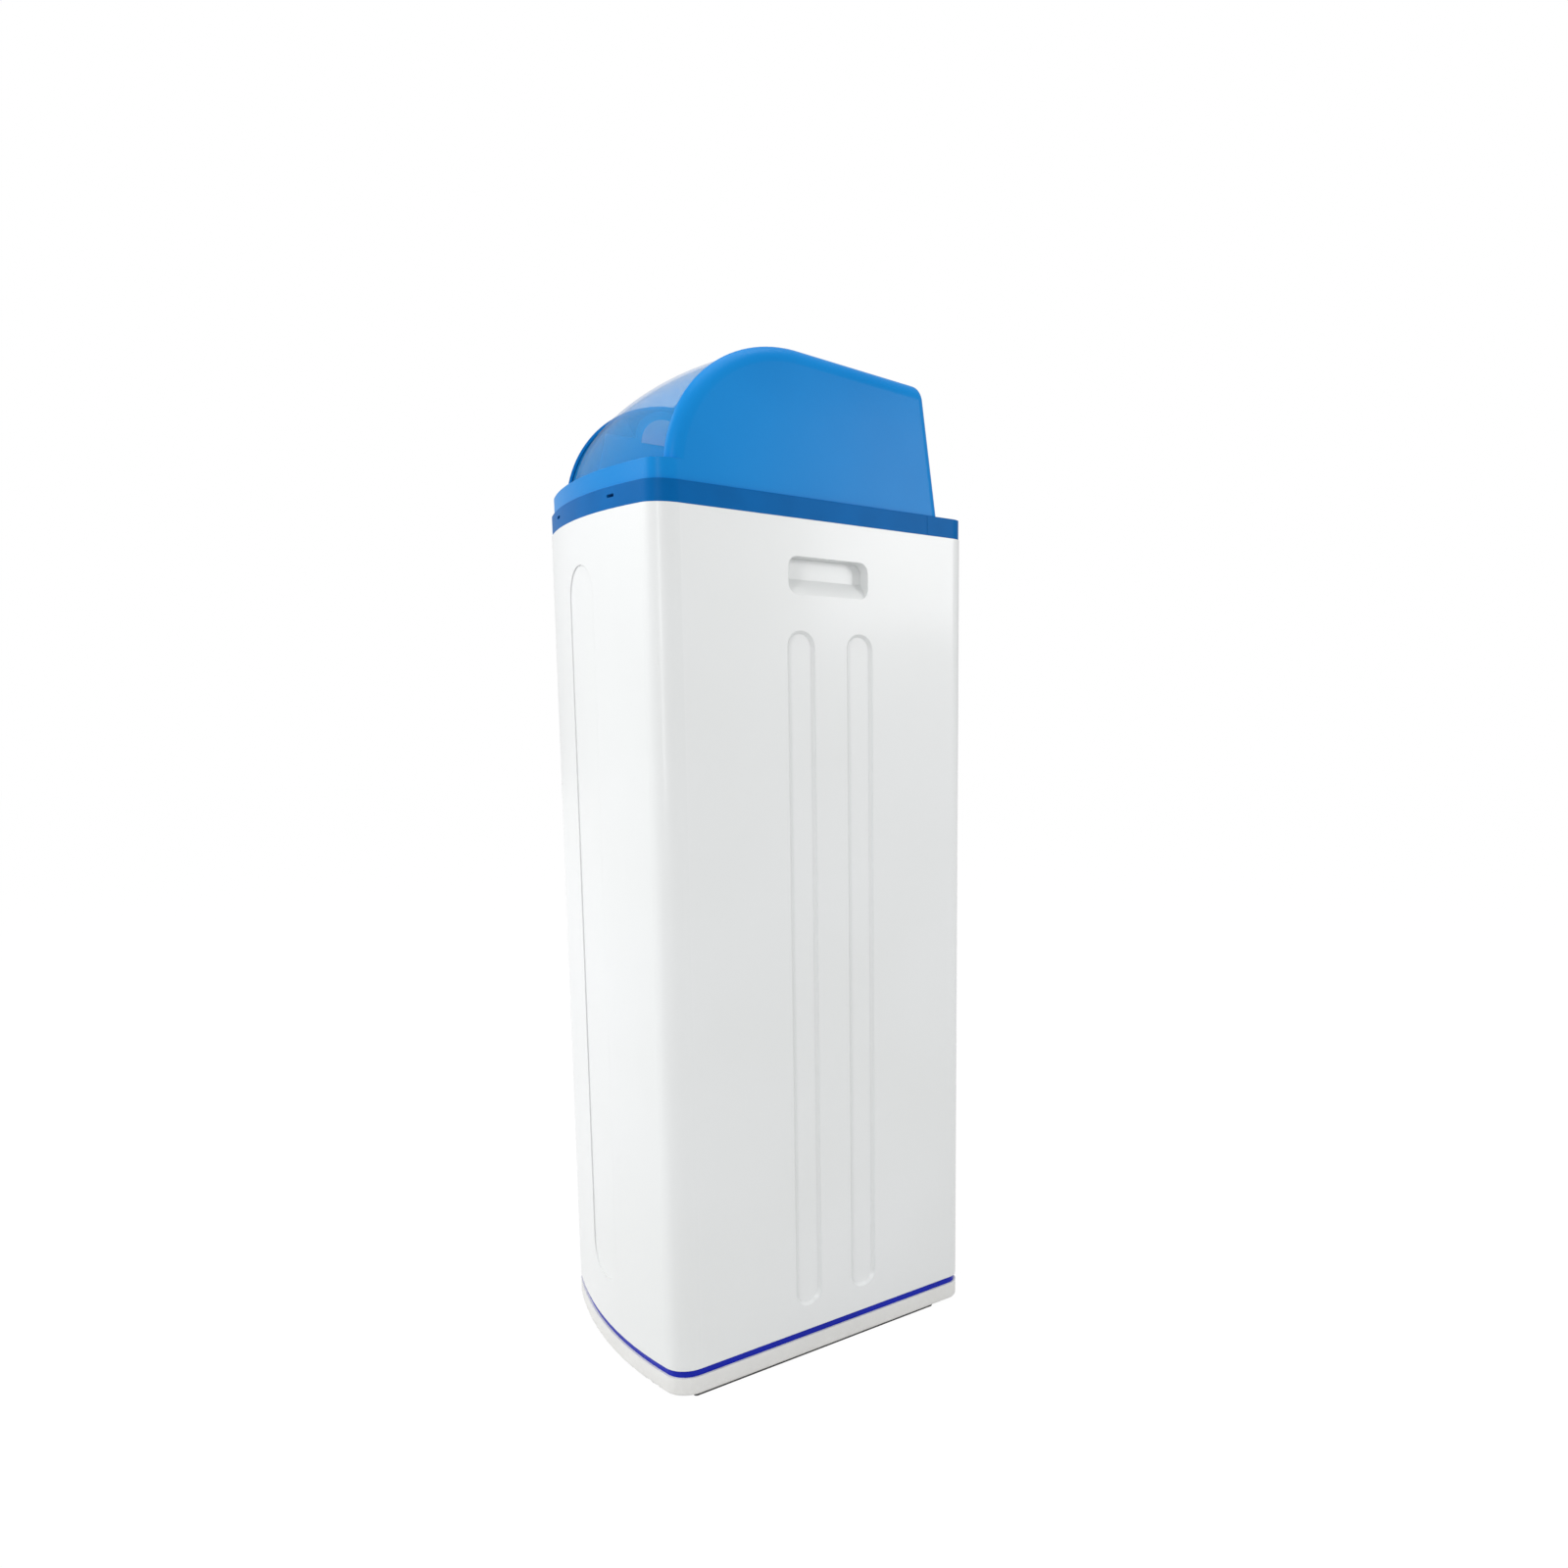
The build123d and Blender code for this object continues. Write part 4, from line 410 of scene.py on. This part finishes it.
def drifting(tree, first, second, patch):
    """A colour output that drifts between two colours."""
    drift = put(tree, "ShaderNodeGroup", node_tree=shared("Colour drift", build_colour_drift))
    drift.inputs["Colour"].default_value = four(first)
    drift.inputs["Second"].default_value = four(second)
    drift.inputs["Patch"].default_value = patch
    return drift.outputs["Colour"]


def skin(tree, shader, grain, depth, edge, roughness, drift):
    """Puts the moulded skin's roughness and normal on a shader."""
    made = put(tree, "ShaderNodeGroup", node_tree=shared("Moulded skin", build_moulded_skin))
    values = {"Grain": grain, "Depth": depth, "Edge": edge, "Roughness": roughness, "Drift": drift}
    for key, value in values.items():
        made.inputs[key].default_value = value
    join(
        tree,
        (made.outputs["Roughness"], shader.inputs["Roughness"]),
        (made.outputs["Normal"], shader.inputs["Normal"]),
    )


def moulded(
    name, first, second, roughness, grain=FINE_GRAIN, depth=FINE_DEPTH, edge=SOFT_EDGE,
    patch=0.05, coat=0.0, shine=0.5,
):
    """A moulded plastic: a drifting colour, a fine grain and soft edges."""
    made, tree, shader = new_finish(name)
    join(tree, (drifting(tree, first, second, patch), shader.inputs["Base Color"]))
    skin(tree, shader, grain, depth, edge, roughness, 0.08)
    shader.inputs["Specular IOR Level"].default_value = shine
    shader.inputs["Coat Weight"].default_value = coat
    shader.inputs["Coat Roughness"].default_value = 0.12
    return made


def dusted(made, height, amount, dust):
    """Lays dust over a finish near the floor."""
    tree = made.node_tree
    shader = next(n for n in tree.nodes if n.type == "BSDF_PRINCIPLED")
    source = shader.inputs["Base Color"].links[0].from_socket
    mask = put(tree, "ShaderNodeGroup", node_tree=shared("Floor dust", build_floor_dust))
    mask.inputs["Height"].default_value = height
    mask.inputs["Amount"].default_value = amount
    factor, clean, _, result = colour_mixer(tree, second=dust)
    join(
        tree,
        (mask.outputs["Dust"], factor),
        (source, clean),
        (result, shader.inputs["Base Color"]),
    )
    return made


def metal(name, tint, roughness, stretch):
    """A turned or plated metal with fine marks."""
    made, tree, shader = new_finish(name)
    darker = [c * 0.82 for c in tint]
    join(tree, (drifting(tree, tint, darker, 0.01), shader.inputs["Base Color"]))
    marks = put(tree, "ShaderNodeGroup", node_tree=shared("Brushing", build_brushing))
    marks.inputs["Stretch"].default_value = stretch
    marks.inputs["Roughness"].default_value = roughness
    join(
        tree,
        (marks.outputs["Roughness"], shader.inputs["Roughness"]),
        (marks.outputs["Normal"], shader.inputs["Normal"]),
    )
    shader.inputs["Metallic"].default_value = 1.0
    return made


def dress(made, *names):
    """Gives CAD nodes one finish."""
    for name in names:
        mesh = nodes[name].data
        mesh.materials.clear()
        mesh.materials.append(made)


def shade(rgb, factor):
    """The same colour, darker or lighter."""
    return tuple(min(1.0, c * factor) for c in rgb)


def link_mesh(name, mesh, made, smooth=True):
    """A new piece from a mesh, in the frame, with its finish."""
    for face in mesh.polygons:
        face.use_smooth = smooth
    piece = bpy.data.objects.new(name, mesh)
    bpy.context.scene.collection.objects.link(piece)
    mesh.materials.append(made)
    return piece


def cross_mesh(name, places):
    """The crossed slots of screw heads as painted shade: at each place, a thin flat cross that faces up."""
    work = bmesh.new()
    for x, y, z in places:
        half, thin = CROSS_LENGTH / 2, CROSS_WIDTH / 2
        corners = [
            (half, thin), (thin, thin), (thin, half), (-thin, half), (-thin, thin), (-half, thin),
            (-half, -thin), (-thin, -thin), (-thin, -half), (thin, -half), (thin, -thin), (half, -thin),
        ]
        rings = []
        for lift in (0.0, CROSS_LIFT):
            rings.append([work.verts.new((x + u, y + v, z + lift)) for u, v in corners])
        for step in range(len(corners)):
            after = (step + 1) % len(corners)
            work.faces.new((rings[0][step], rings[0][after], rings[1][after], rings[1][step]))
        for ring in rings:
            work.faces.new(ring)
    bmesh.ops.recalc_face_normals(work, faces=work.faces)
    mesh = bpy.data.meshes.new(name)
    work.to_mesh(mesh)
    work.free()
    return mesh


def thread_mesh(name, centre_x, centre_z, start_y, end_y, crest, pitch, depth):
    """A helical ridge wound on a pipe's end: a V of one pitch that runs along Y."""
    count = int((end_y - start_y) / pitch * STEPS_PER_TURN)
    half = pitch * THREAD_HALF
    work = bmesh.new()
    rows = []
    for step in range(count + 1):
        angle = 2 * pi * step / STEPS_PER_TURN
        y = start_y + pitch / 4 + (end_y - start_y - pitch / 2) * step / count
        fade = min(1.0, step / STEPS_PER_TURN, (count - step) / STEPS_PER_TURN)
        row = []
        for along, out in ((-half, THREAD_FOOT), (0.0, 1.0), (half, THREAD_FOOT), (0.0, THREAD_ROOT)):
            radius = crest - depth + depth * (out * fade if out > 0 else out)
            place = (centre_x + radius * cos(angle), y + along * fade, centre_z + radius * sin(angle))
            row.append(work.verts.new(place))
        rows.append(row)
    for before, after in zip(rows, rows[1:]):
        for side in range(4):
            nxt = (side + 1) % 4
            work.faces.new((before[side], before[nxt], after[nxt], after[side]))
    work.faces.new(rows[0])
    work.faces.new(rows[-1])
    bmesh.ops.recalc_face_normals(work, faces=work.faces)
    mesh = bpy.data.meshes.new(name)
    work.to_mesh(mesh)
    work.free()
    return mesh


class SOFTENER_OT_cabinet(Operator):
    """Finish the white cabinet, its base and the foot strips"""

    bl_idname = "softener.cabinet"
    bl_label = "Cabinet and base"

    def execute(self, context):
        look = context.scene.softener_cabinet
        shell = moulded(
            "Cabinet white", look.shell_white, look.shell_shade, look.gloss,
            look.grain, look.grain_depth, 0.0012, 0.35, 0.15,
        )
        dress(dusted(shell, 0.30, 0.05, (0.62, 0.61, 0.58)), "cabinet_body")
        tray = moulded("Tray off-white", look.tray_grey, shade(look.tray_grey, 0.95), 0.42, 0.0009, 0.00002, 0.001)
        dress(dusted(tray, 0.04, 0.25, (0.45, 0.43, 0.40)), "base_tray")
        dress(moulded("Band blue", look.band_blue, shade(look.band_blue, 0.85), 0.28, shine=0.2), "base_band")
        rubber = moulded("Foot rubber", look.strip_black, shade(look.strip_black, 1.6), 0.75, 0.0006, 0.00003)
        dress(dusted(rubber, 0.006, 0.5, (0.20, 0.19, 0.18)), "foot_strips", "neck_seal")
        return {"FINISHED"}


class SOFTENER_OT_hood(Operator):
    """Finish the blue hood, its frame and the liners behind the cover"""

    bl_idname = "softener.hood"
    bl_label = "Hood, frame and liners"

    def execute(self, context):
        look = context.scene.softener_hood
        hood = moulded(
            "Hood blue", look.hood_blue, look.hood_pale, look.gloss, look.grain, look.grain_depth, 0.0015, 0.18,
            shine=0.10,
        )
        dress(hood, "hood")
        rim = moulded(
            "Frame blue", look.frame_blue, shade(look.frame_blue, 1.15), 0.36, 0.0014, 0.00002, 0.001, shine=0.05
        )
        dress(rim, "top_frame", "rear_frame_strip")
        liner = moulded("Liner blue", look.liner_blue, shade(look.liner_blue, 0.9), 0.42, 0.0010, 0.00002, 0.0006)
        dress(liner, "left_cheek_liner", "right_cheek_liner")
        self.finish_highlight_cards(look)
        return {"FINISHED"}

    def finish_highlight_cards(self, look):
        """Pale cards on the cheek liners that stand in for a bright highlight seen there: painted highlight that
        passes from near white to pink towards their foot.
        """
        made, tree, shader = new_finish("Painted highlight card")
        low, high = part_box("liner_cards")
        place = put(tree, "ShaderNodeTexCoord")
        parts = put(tree, "ShaderNodeSeparateXYZ")
        fade = put(tree, "ShaderNodeMapRange", {"From Min": low.z, "From Max": high.z})
        factor, _, _, result = colour_mixer(tree, look.highlight_card_pink, look.highlight_card_white)
        join(
            tree,
            (place.outputs["Object"], parts.inputs[0]),
            (parts.outputs["Z"], fade.inputs["Value"]),
            (fade.outputs[0], factor),
            (result, shader.inputs["Base Color"]),
        )
        skin(tree, shader, 0.0004, 0.00001, 0.0003, 0.6, 0.1)
        dress(made, "liner_cards")


class SOFTENER_OT_cover(Operator):
    """Finish the clear salt cover"""

    bl_idname = "softener.cover"
    bl_label = "Clear cover"

    def execute(self, context):
        look = context.scene.softener_hood
        made, tree, shader = new_finish("Clear blue cover")
        tint = drifting(tree, look.cover_tint, shade(look.cover_tint, 0.96), 0.12)
        join(tree, (tint, shader.inputs["Base Color"]))
        skin(tree, shader, 0.02, 0.00004, 0.0006, 0.06, 0.04)
        shader.inputs["Alpha"].default_value = look.cover_veil
        shader.inputs["Specular IOR Level"].default_value = 0.3
        shader.inputs["IOR"].default_value = 1.46
        dress(made, "salt_cover")
        return {"FINISHED"}


class SOFTENER_OT_vessel(Operator):
    """Finish the pressure vessel and what stands in it"""

    bl_idname = "softener.vessel"
    bl_label = "Pressure vessel"

    def execute(self, context):
        look = context.scene.softener_works
        self.finish_shell(look)
        self.finish_beads(look)
        dress(moulded("Fitting grey", look.grey, shade(look.grey, 0.9), 0.45), "lower_basket", "upper_basket")
        dress(moulded("Tube white", look.white, shade(look.white, 0.94), 0.4), "riser_tube")
        dress(moulded("Foot black", look.black, shade(look.black, 1.3), 0.5), "vessel_foot")
        return {"FINISHED"}

    def finish_shell(self, look):
        """Glass fibre wound crosswise and varnished."""
        made, tree, shader = new_finish("Wound fibre")
        wind = put(tree, "ShaderNodeGroup", {"Pitch": 0.0022}, node_tree=shared("Winding", build_winding))
        factor, _, _, result = colour_mixer(tree, look.vessel_blue, shade(look.vessel_blue, 1.35))
        bump = put(tree, "ShaderNodeBump", {"Distance": 0.0002})
        join(
            tree,
            (wind.outputs["Strand"], factor),
            (result, shader.inputs["Base Color"]),
            (wind.outputs["Height"], bump.inputs["Height"]),
            (bump.outputs[0], shader.inputs["Normal"]),
        )
        shader.inputs["Roughness"].default_value = 0.35
        shader.inputs["Coat Weight"].default_value = 0.5
        dress(made, "pressure_vessel")

    def finish_beads(self, look):
        """Amber beads: a fine cell pattern of colour and height."""
        made, tree, shader = new_finish("Resin beads")
        place = put(tree, "ShaderNodeTexCoord")
        cells = put(tree, "ShaderNodeTexVoronoi", {"Scale": 900.0})
        factor, _, _, result = colour_mixer(tree, shade(look.resin, 1.3), shade(look.resin, 0.5))
        bump = put(tree, "ShaderNodeBump", {"Distance": 0.0004}, invert=True)
        join(
            tree,
            (place.outputs["Object"], cells.inputs["Vector"]),
            (cells.outputs["Distance"], factor),
            (result, shader.inputs["Base Color"]),
            (cells.outputs["Distance"], bump.inputs["Height"]),
            (bump.outputs[0], shader.inputs["Normal"]),
        )
        shader.inputs["Roughness"].default_value = 0.3
        dress(made, "resin_bed")


class SOFTENER_OT_valve(Operator):
    """Finish the control valve, its drive and its screws"""

    bl_idname = "softener.valve"
    bl_label = "Control valve"

    def execute(self, context):
        look = context.scene.softener_works
        black = moulded("Valve black", look.black, shade(look.black, 1.5), 0.48, 0.0007, 0.00003)
        dress(black, "neck_collar", "valve_body", "valve_cap", "bypass_body", "power_socket")
        dress(moulded("Lapped ceramic", (0.85, 0.85, 0.83), (0.80, 0.80, 0.78), 0.18), "fixed_disc")
        gears = moulded("Gear white", look.white, shade(look.white, 0.95), 0.4)
        dress(gears, "valve_rotor", "rotor_gear", "motor_pinion")
        grey = moulded("Small grey fittings", look.grey, shade(look.grey, 1.1), 0.45)
        dress(grey, "drive_plate", "injector_cap", "drain_elbow", "brine_elbow", "overflow_elbow", "overflow_nut")
        steel = metal("Plated steel", look.steel, 0.28, (1.0, 1.0, 0.2))
        dress(steel, "drive_screws", "casing_screws", "liner_screws", "cover_pins", "port_clips", "drive_motor")
        self.paint_slot_shade()
        return {"FINISHED"}

    def paint_slot_shade(self):
        """Painted shade for the crossed slots in the heads of the screws that show: flat near-black crosses laid just
        above the heads.
        """
        frame_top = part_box("casing_screws")[1].z
        # The near black of the crosses is painted shade of the slots.
        dark = moulded("Slot shadow", (0.02, 0.02, 0.02), (0.04, 0.04, 0.04), 0.6)
        spots = [(x, y) for x in (-SCREW_CORNER_X, SCREW_CORNER_X) for y in (SCREW_FRONT_Y, SCREW_REAR_Y)]
        upper = [(x, y, frame_top) for x, y in spots]
        piece = link_mesh("screw_slot_shade_upper", cross_mesh("Upper screw slot shade", upper), dark, smooth=False)
        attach(piece, "cabinet")


class SOFTENER_OT_head(Operator):
    """Finish the valve's head, its control face, window and buttons"""

    bl_idname = "softener.head"
    bl_label = "Head and controls"

    def execute(self, context):
        look = context.scene.softener_works
        dress(moulded("Head grey", look.head_grey, shade(look.head_grey, 1.15), 0.5, 0.0008, 0.00004), "head_housing")
        dress(moulded("Face white", look.face_white, shade(look.face_white, 0.97), 0.25, coat=0.4), "control_face")
        soft = moulded("Button grey", look.button_grey, shade(look.button_grey, 1.15), 0.65, 0.0004, 0.00001)
        dress(soft, *[f"push_button_{step}" for step in range(1, 5)])
        self.finish_board(look)
        self.finish_window()
        return {"FINISHED"}

    def finish_board(self, look):
        """A circuit board with faint copper tracks."""
        made, tree, shader = new_finish("Circuit board")
        place = put(tree, "ShaderNodeTexCoord")
        tracks = put(tree, "ShaderNodeTexBrick", {"Scale": 260.0, "Mortar Size": 0.06})
        tracks.inputs["Color1"].default_value = four(look.board_green)
        tracks.inputs["Color2"].default_value = four(shade(look.board_green, 0.8))
        tracks.inputs["Mortar"].default_value = four(shade(look.board_green, 1.6))
        join(
            tree,
            (place.outputs["Object"], tracks.inputs["Vector"]),
            (tracks.outputs["Color"], shader.inputs["Base Color"]),
        )
        skin(tree, shader, 0.0006, 0.00001, 0.0002, 0.35, 0.05)
        dress(made, "control_board")

    def finish_window(self):
        """A dark glossy window over the display."""
        made, tree, shader = new_finish("Display window")
        tint = drifting(tree, (0.030, 0.045, 0.055), (0.05, 0.07, 0.08), 0.03)
        join(tree, (tint, shader.inputs["Base Color"]))
        skin(tree, shader, 0.004, 0.000004, 0.0004, 0.06, 0.03)
        shader.inputs["Coat Weight"].default_value = 1.0
        dress(made, "display_window")


class SOFTENER_OT_bypass(Operator):
    """Finish the bypass, its levers and the threaded pipe tails"""

    bl_idname = "softener.bypass"
    bl_label = "Bypass and unions"

    def execute(self, context):
        look = context.scene.softener_works
        blue = moulded("Lever blue", look.lever_blue, shade(look.lever_blue, 1.2), 0.32, coat=0.2)
        dress(blue, "bypass_lever_left", "bypass_lever_right")
        brass = metal("Plain brass", look.brass, 0.26, (1.0, 0.15, 1.0))
        dress(brass, "union_nuts", "pipe_tails")
        self.wind_threads(look, brass)
        return {"FINISHED"}

    def wind_threads(self, look, brass):
        """A thread on the outer end of each pipe tail."""
        low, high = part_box("pipe_tails")
        nuts_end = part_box("union_nuts")[1].y
        middle_z = (low.z + high.z) / 2
        for name, x in (("left", low.x + TAIL_RADIUS), ("right", high.x - TAIL_RADIUS)):
            mesh = thread_mesh(
                f"Thread {name}", x, middle_z, nuts_end + look.thread_pitch, high.y - look.thread_pitch / 2,
                TAIL_RADIUS + look.thread_depth, look.thread_pitch, look.thread_depth,
            )
            piece = link_mesh(f"tail_thread_{name}", mesh, brass, smooth=False)
            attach(piece, "cabinet")


class SOFTENER_OT_brine(Operator):
    """Finish the brine well, float, valve, salt grid and line"""

    bl_idname = "softener.brine"
    bl_label = "Brine well and line"

    def execute(self, context):
        look = context.scene.softener_works
        well = moulded("Well white", shade(look.white, 1.04), shade(look.white, 0.98), 0.5)
        dress(well, "brine_well", "well_cap", "salt_grid")
        tube = moulded("Fitting white", look.white, shade(look.white, 0.95), 0.42)
        dress(tube, "brine_valve", "pickup_tube", "float_rod", "brine_nut")
        dress(moulded("Float foam", (0.88, 0.88, 0.86), (0.80, 0.80, 0.78), 0.8, 0.002, 0.0002), "well_float")
        dress(moulded("Line white", (0.74, 0.77, 0.79), (0.66, 0.69, 0.71), 0.3), "brine_line")
        return {"FINISHED"}


class SOFTENER_OT_stage(Operator):
    """Set the floor, the lights and the camera"""

    bl_idname = "softener.stage"
    bl_label = "Studio and camera"

    def execute(self, context):
        look = context.scene.softener_studio
        self.lay_floor(look)
        self.light_sky(context.scene, look)
        self.hang_lamp("Key", (-1.1, -2.2, 2.3), 1.6, look.key, (0.0, 0.0, 0.8))
        self.hang_lamp("Side", (2.1, 1.55, 1.4), 0.75, look.side, (0.1, 0.1, 1.0))
        self.hang_lamp("Strip", (1.45, -2.1, 1.3), 0.3, look.strip, (0.1, -0.15, 0.8), 1.7)
        self.hang_lamp("Top", (0.2, -0.2, 3.0), 1.6, look.top, (0.0, 0.0, 1.0))
        self.set_camera(context.scene, look)
        context.scene.view_settings.view_transform = "Standard"
        return {"FINISHED"}

    def lay_floor(self, look):
        """A pale floor that the camera sees as white, with a faint shadow."""
        work = bmesh.new()
        bmesh.ops.create_grid(work, x_segments=1, y_segments=1, size=FLOOR_HALF)
        mesh = bpy.data.meshes.new("Floor")
        work.to_mesh(mesh)
        work.free()
        made = bpy.data.materials.new("Pale floor")
        made.use_nodes = True
        tree = made.node_tree
        tree.nodes.clear()
        plain = put(tree, "ShaderNodeBsdfDiffuse", {"Color": (0.60, 0.60, 0.60, 1.0)})
        lit = put(tree, "ShaderNodeEmission", {"Color": (1.0, 1.0, 1.0, 1.0), "Strength": 1.04})
        rays = put(tree, "ShaderNodeLightPath")
        seen = put(tree, "ShaderNodeMath", operation="MAXIMUM")
        clear = put(tree, "ShaderNodeMath", operation="MAXIMUM")
        share_of = put(tree, "ShaderNodeMath", {1: 1.0 - look.floor_shade}, operation="MULTIPLY")
        mixed = put(tree, "ShaderNodeMixShader")
        out = put(tree, "ShaderNodeOutputMaterial")
        join(
            tree,
            (rays.outputs["Is Camera Ray"], seen.inputs[0]),
            (rays.outputs["Is Transmission Ray"], seen.inputs[1]),
            (seen.outputs[0], clear.inputs[0]),
            (rays.outputs["Is Glossy Ray"], clear.inputs[1]),
            (clear.outputs[0], share_of.inputs[0]),
            (share_of.outputs[0], mixed.inputs[0]),
            (plain.outputs[0], mixed.inputs[1]),
            (lit.outputs[0], mixed.inputs[2]),
            (mixed.outputs[0], out.inputs["Surface"]),
        )
        link_mesh("floor", mesh, made, smooth=False)

    def light_sky(self, scene, look):
        """Soft light all round, which the camera sees as white."""
        world = bpy.data.worlds.new("Studio")
        scene.world = world
        world.use_nodes = True
        tree = world.node_tree
        tree.nodes.clear()
        dim = put(tree, "ShaderNodeBackground", {"Color": (1.0, 1.0, 1.0, 1.0), "Strength": look.sky})
        white = put(tree, "ShaderNodeBackground", {"Color": (1.0, 1.0, 1.0, 1.0), "Strength": 1.0})
        rays = put(tree, "ShaderNodeLightPath")
        seen = put(tree, "ShaderNodeMath", operation="MAXIMUM")
        mixed = put(tree, "ShaderNodeMixShader")
        out = put(tree, "ShaderNodeOutputWorld")
        join(
            tree,
            (rays.outputs["Is Camera Ray"], seen.inputs[0]),
            (rays.outputs["Is Transmission Ray"], seen.inputs[1]),
            (seen.outputs[0], mixed.inputs[0]),
            (dim.outputs[0], mixed.inputs[1]),
            (white.outputs[0], mixed.inputs[2]),
            (mixed.outputs[0], out.inputs["Surface"]),
        )

    def hang_lamp(self, name, place, width, power, target, tall=None):
        """A soft lamp that faces a point, square unless its height is given."""
        lamp = bpy.data.lights.new(name, "AREA")
        lamp.shape = "RECTANGLE"
        lamp.size = width
        lamp.size_y = tall or width
        lamp.energy = power
        holder = bpy.data.objects.new(name, lamp)
        holder.location = place
        aim = Vector(target) - Vector(place)
        holder.rotation_euler = aim.to_track_quat("-Z", "Y").to_euler()
        bpy.context.scene.collection.objects.link(holder)

    def set_camera(self, scene, look):
        """The photograph's viewpoint, from its turn, tilt and roll."""
        ahead = Vector((-sin(look.turn) * cos(look.tilt), cos(look.turn) * cos(look.tilt), -sin(look.tilt)))
        level = Vector((cos(look.turn), sin(look.turn), 0.0))
        upright = level.cross(ahead)
        right = level * cos(look.roll) + upright * sin(look.roll)
        up = upright * cos(look.roll) - level * sin(look.roll)
        lens = bpy.data.cameras.new("Camera")
        lens.sensor_width = SENSOR_WIDTH
        lens.lens = look.focal / look.picture * SENSOR_WIDTH
        lens.shift_x = 0.5 - look.centre_u / look.picture
        lens.shift_y = look.centre_v / look.picture - 0.5
        lens.clip_start = CLIP_NEAR
        lens.clip_end = CLIP_FAR
        holder = bpy.data.objects.new("Camera", lens)
        turn = Matrix((right, up, -ahead)).transposed().to_4x4()
        holder.matrix_world = Matrix.Translation(Vector(look.eye)) @ turn
        scene.collection.objects.link(holder)
        scene.camera = holder


class SOFTENER_PT_finishes(Panel):
    """Lists the softener's finishes and their settings"""

    bl_idname = "SOFTENER_PT_finishes"
    bl_label = "Water softener"
    bl_space_type = "VIEW_3D"
    bl_region_type = "UI"
    bl_category = "Softener"

    def draw(self, context):
        for step in STEPS:
            self.layout.operator(step.bl_idname)
        for name in SETTINGS:
            group = getattr(context.scene, name)
            box = self.layout.box()
            for key in group.__annotations__:
                box.prop(group, key)


SETTINGS = {
    "softener_cabinet": CabinetFinish,
    "softener_hood": HoodFinish,
    "softener_works": WorksFinish,
    "softener_studio": StudioSetting,
}
STEPS = (
    SOFTENER_OT_cabinet,
    SOFTENER_OT_hood,
    SOFTENER_OT_cover,
    SOFTENER_OT_vessel,
    SOFTENER_OT_valve,
    SOFTENER_OT_head,
    SOFTENER_OT_bypass,
    SOFTENER_OT_brine,
    SOFTENER_OT_stage,
)


def register():
    for kind in (*SETTINGS.values(), *STEPS, SOFTENER_PT_finishes):
        bpy.utils.register_class(kind)
    for name, kind in SETTINGS.items():
        setattr(bpy.types.Scene, name, PointerProperty(type=kind))


def unregister():
    for name in SETTINGS:
        delattr(bpy.types.Scene, name)
    for kind in (SOFTENER_PT_finishes, *STEPS, *SETTINGS.values()):
        bpy.utils.unregister_class(kind)


def main():
    """Registers the add-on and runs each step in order."""
    register()
    bpy.ops.softener.cabinet()
    bpy.ops.softener.hood()
    bpy.ops.softener.cover()
    bpy.ops.softener.vessel()
    bpy.ops.softener.valve()
    bpy.ops.softener.head()
    bpy.ops.softener.bypass()
    bpy.ops.softener.brine()
    bpy.ops.softener.stage()


if __name__ == "__main__":
    main()
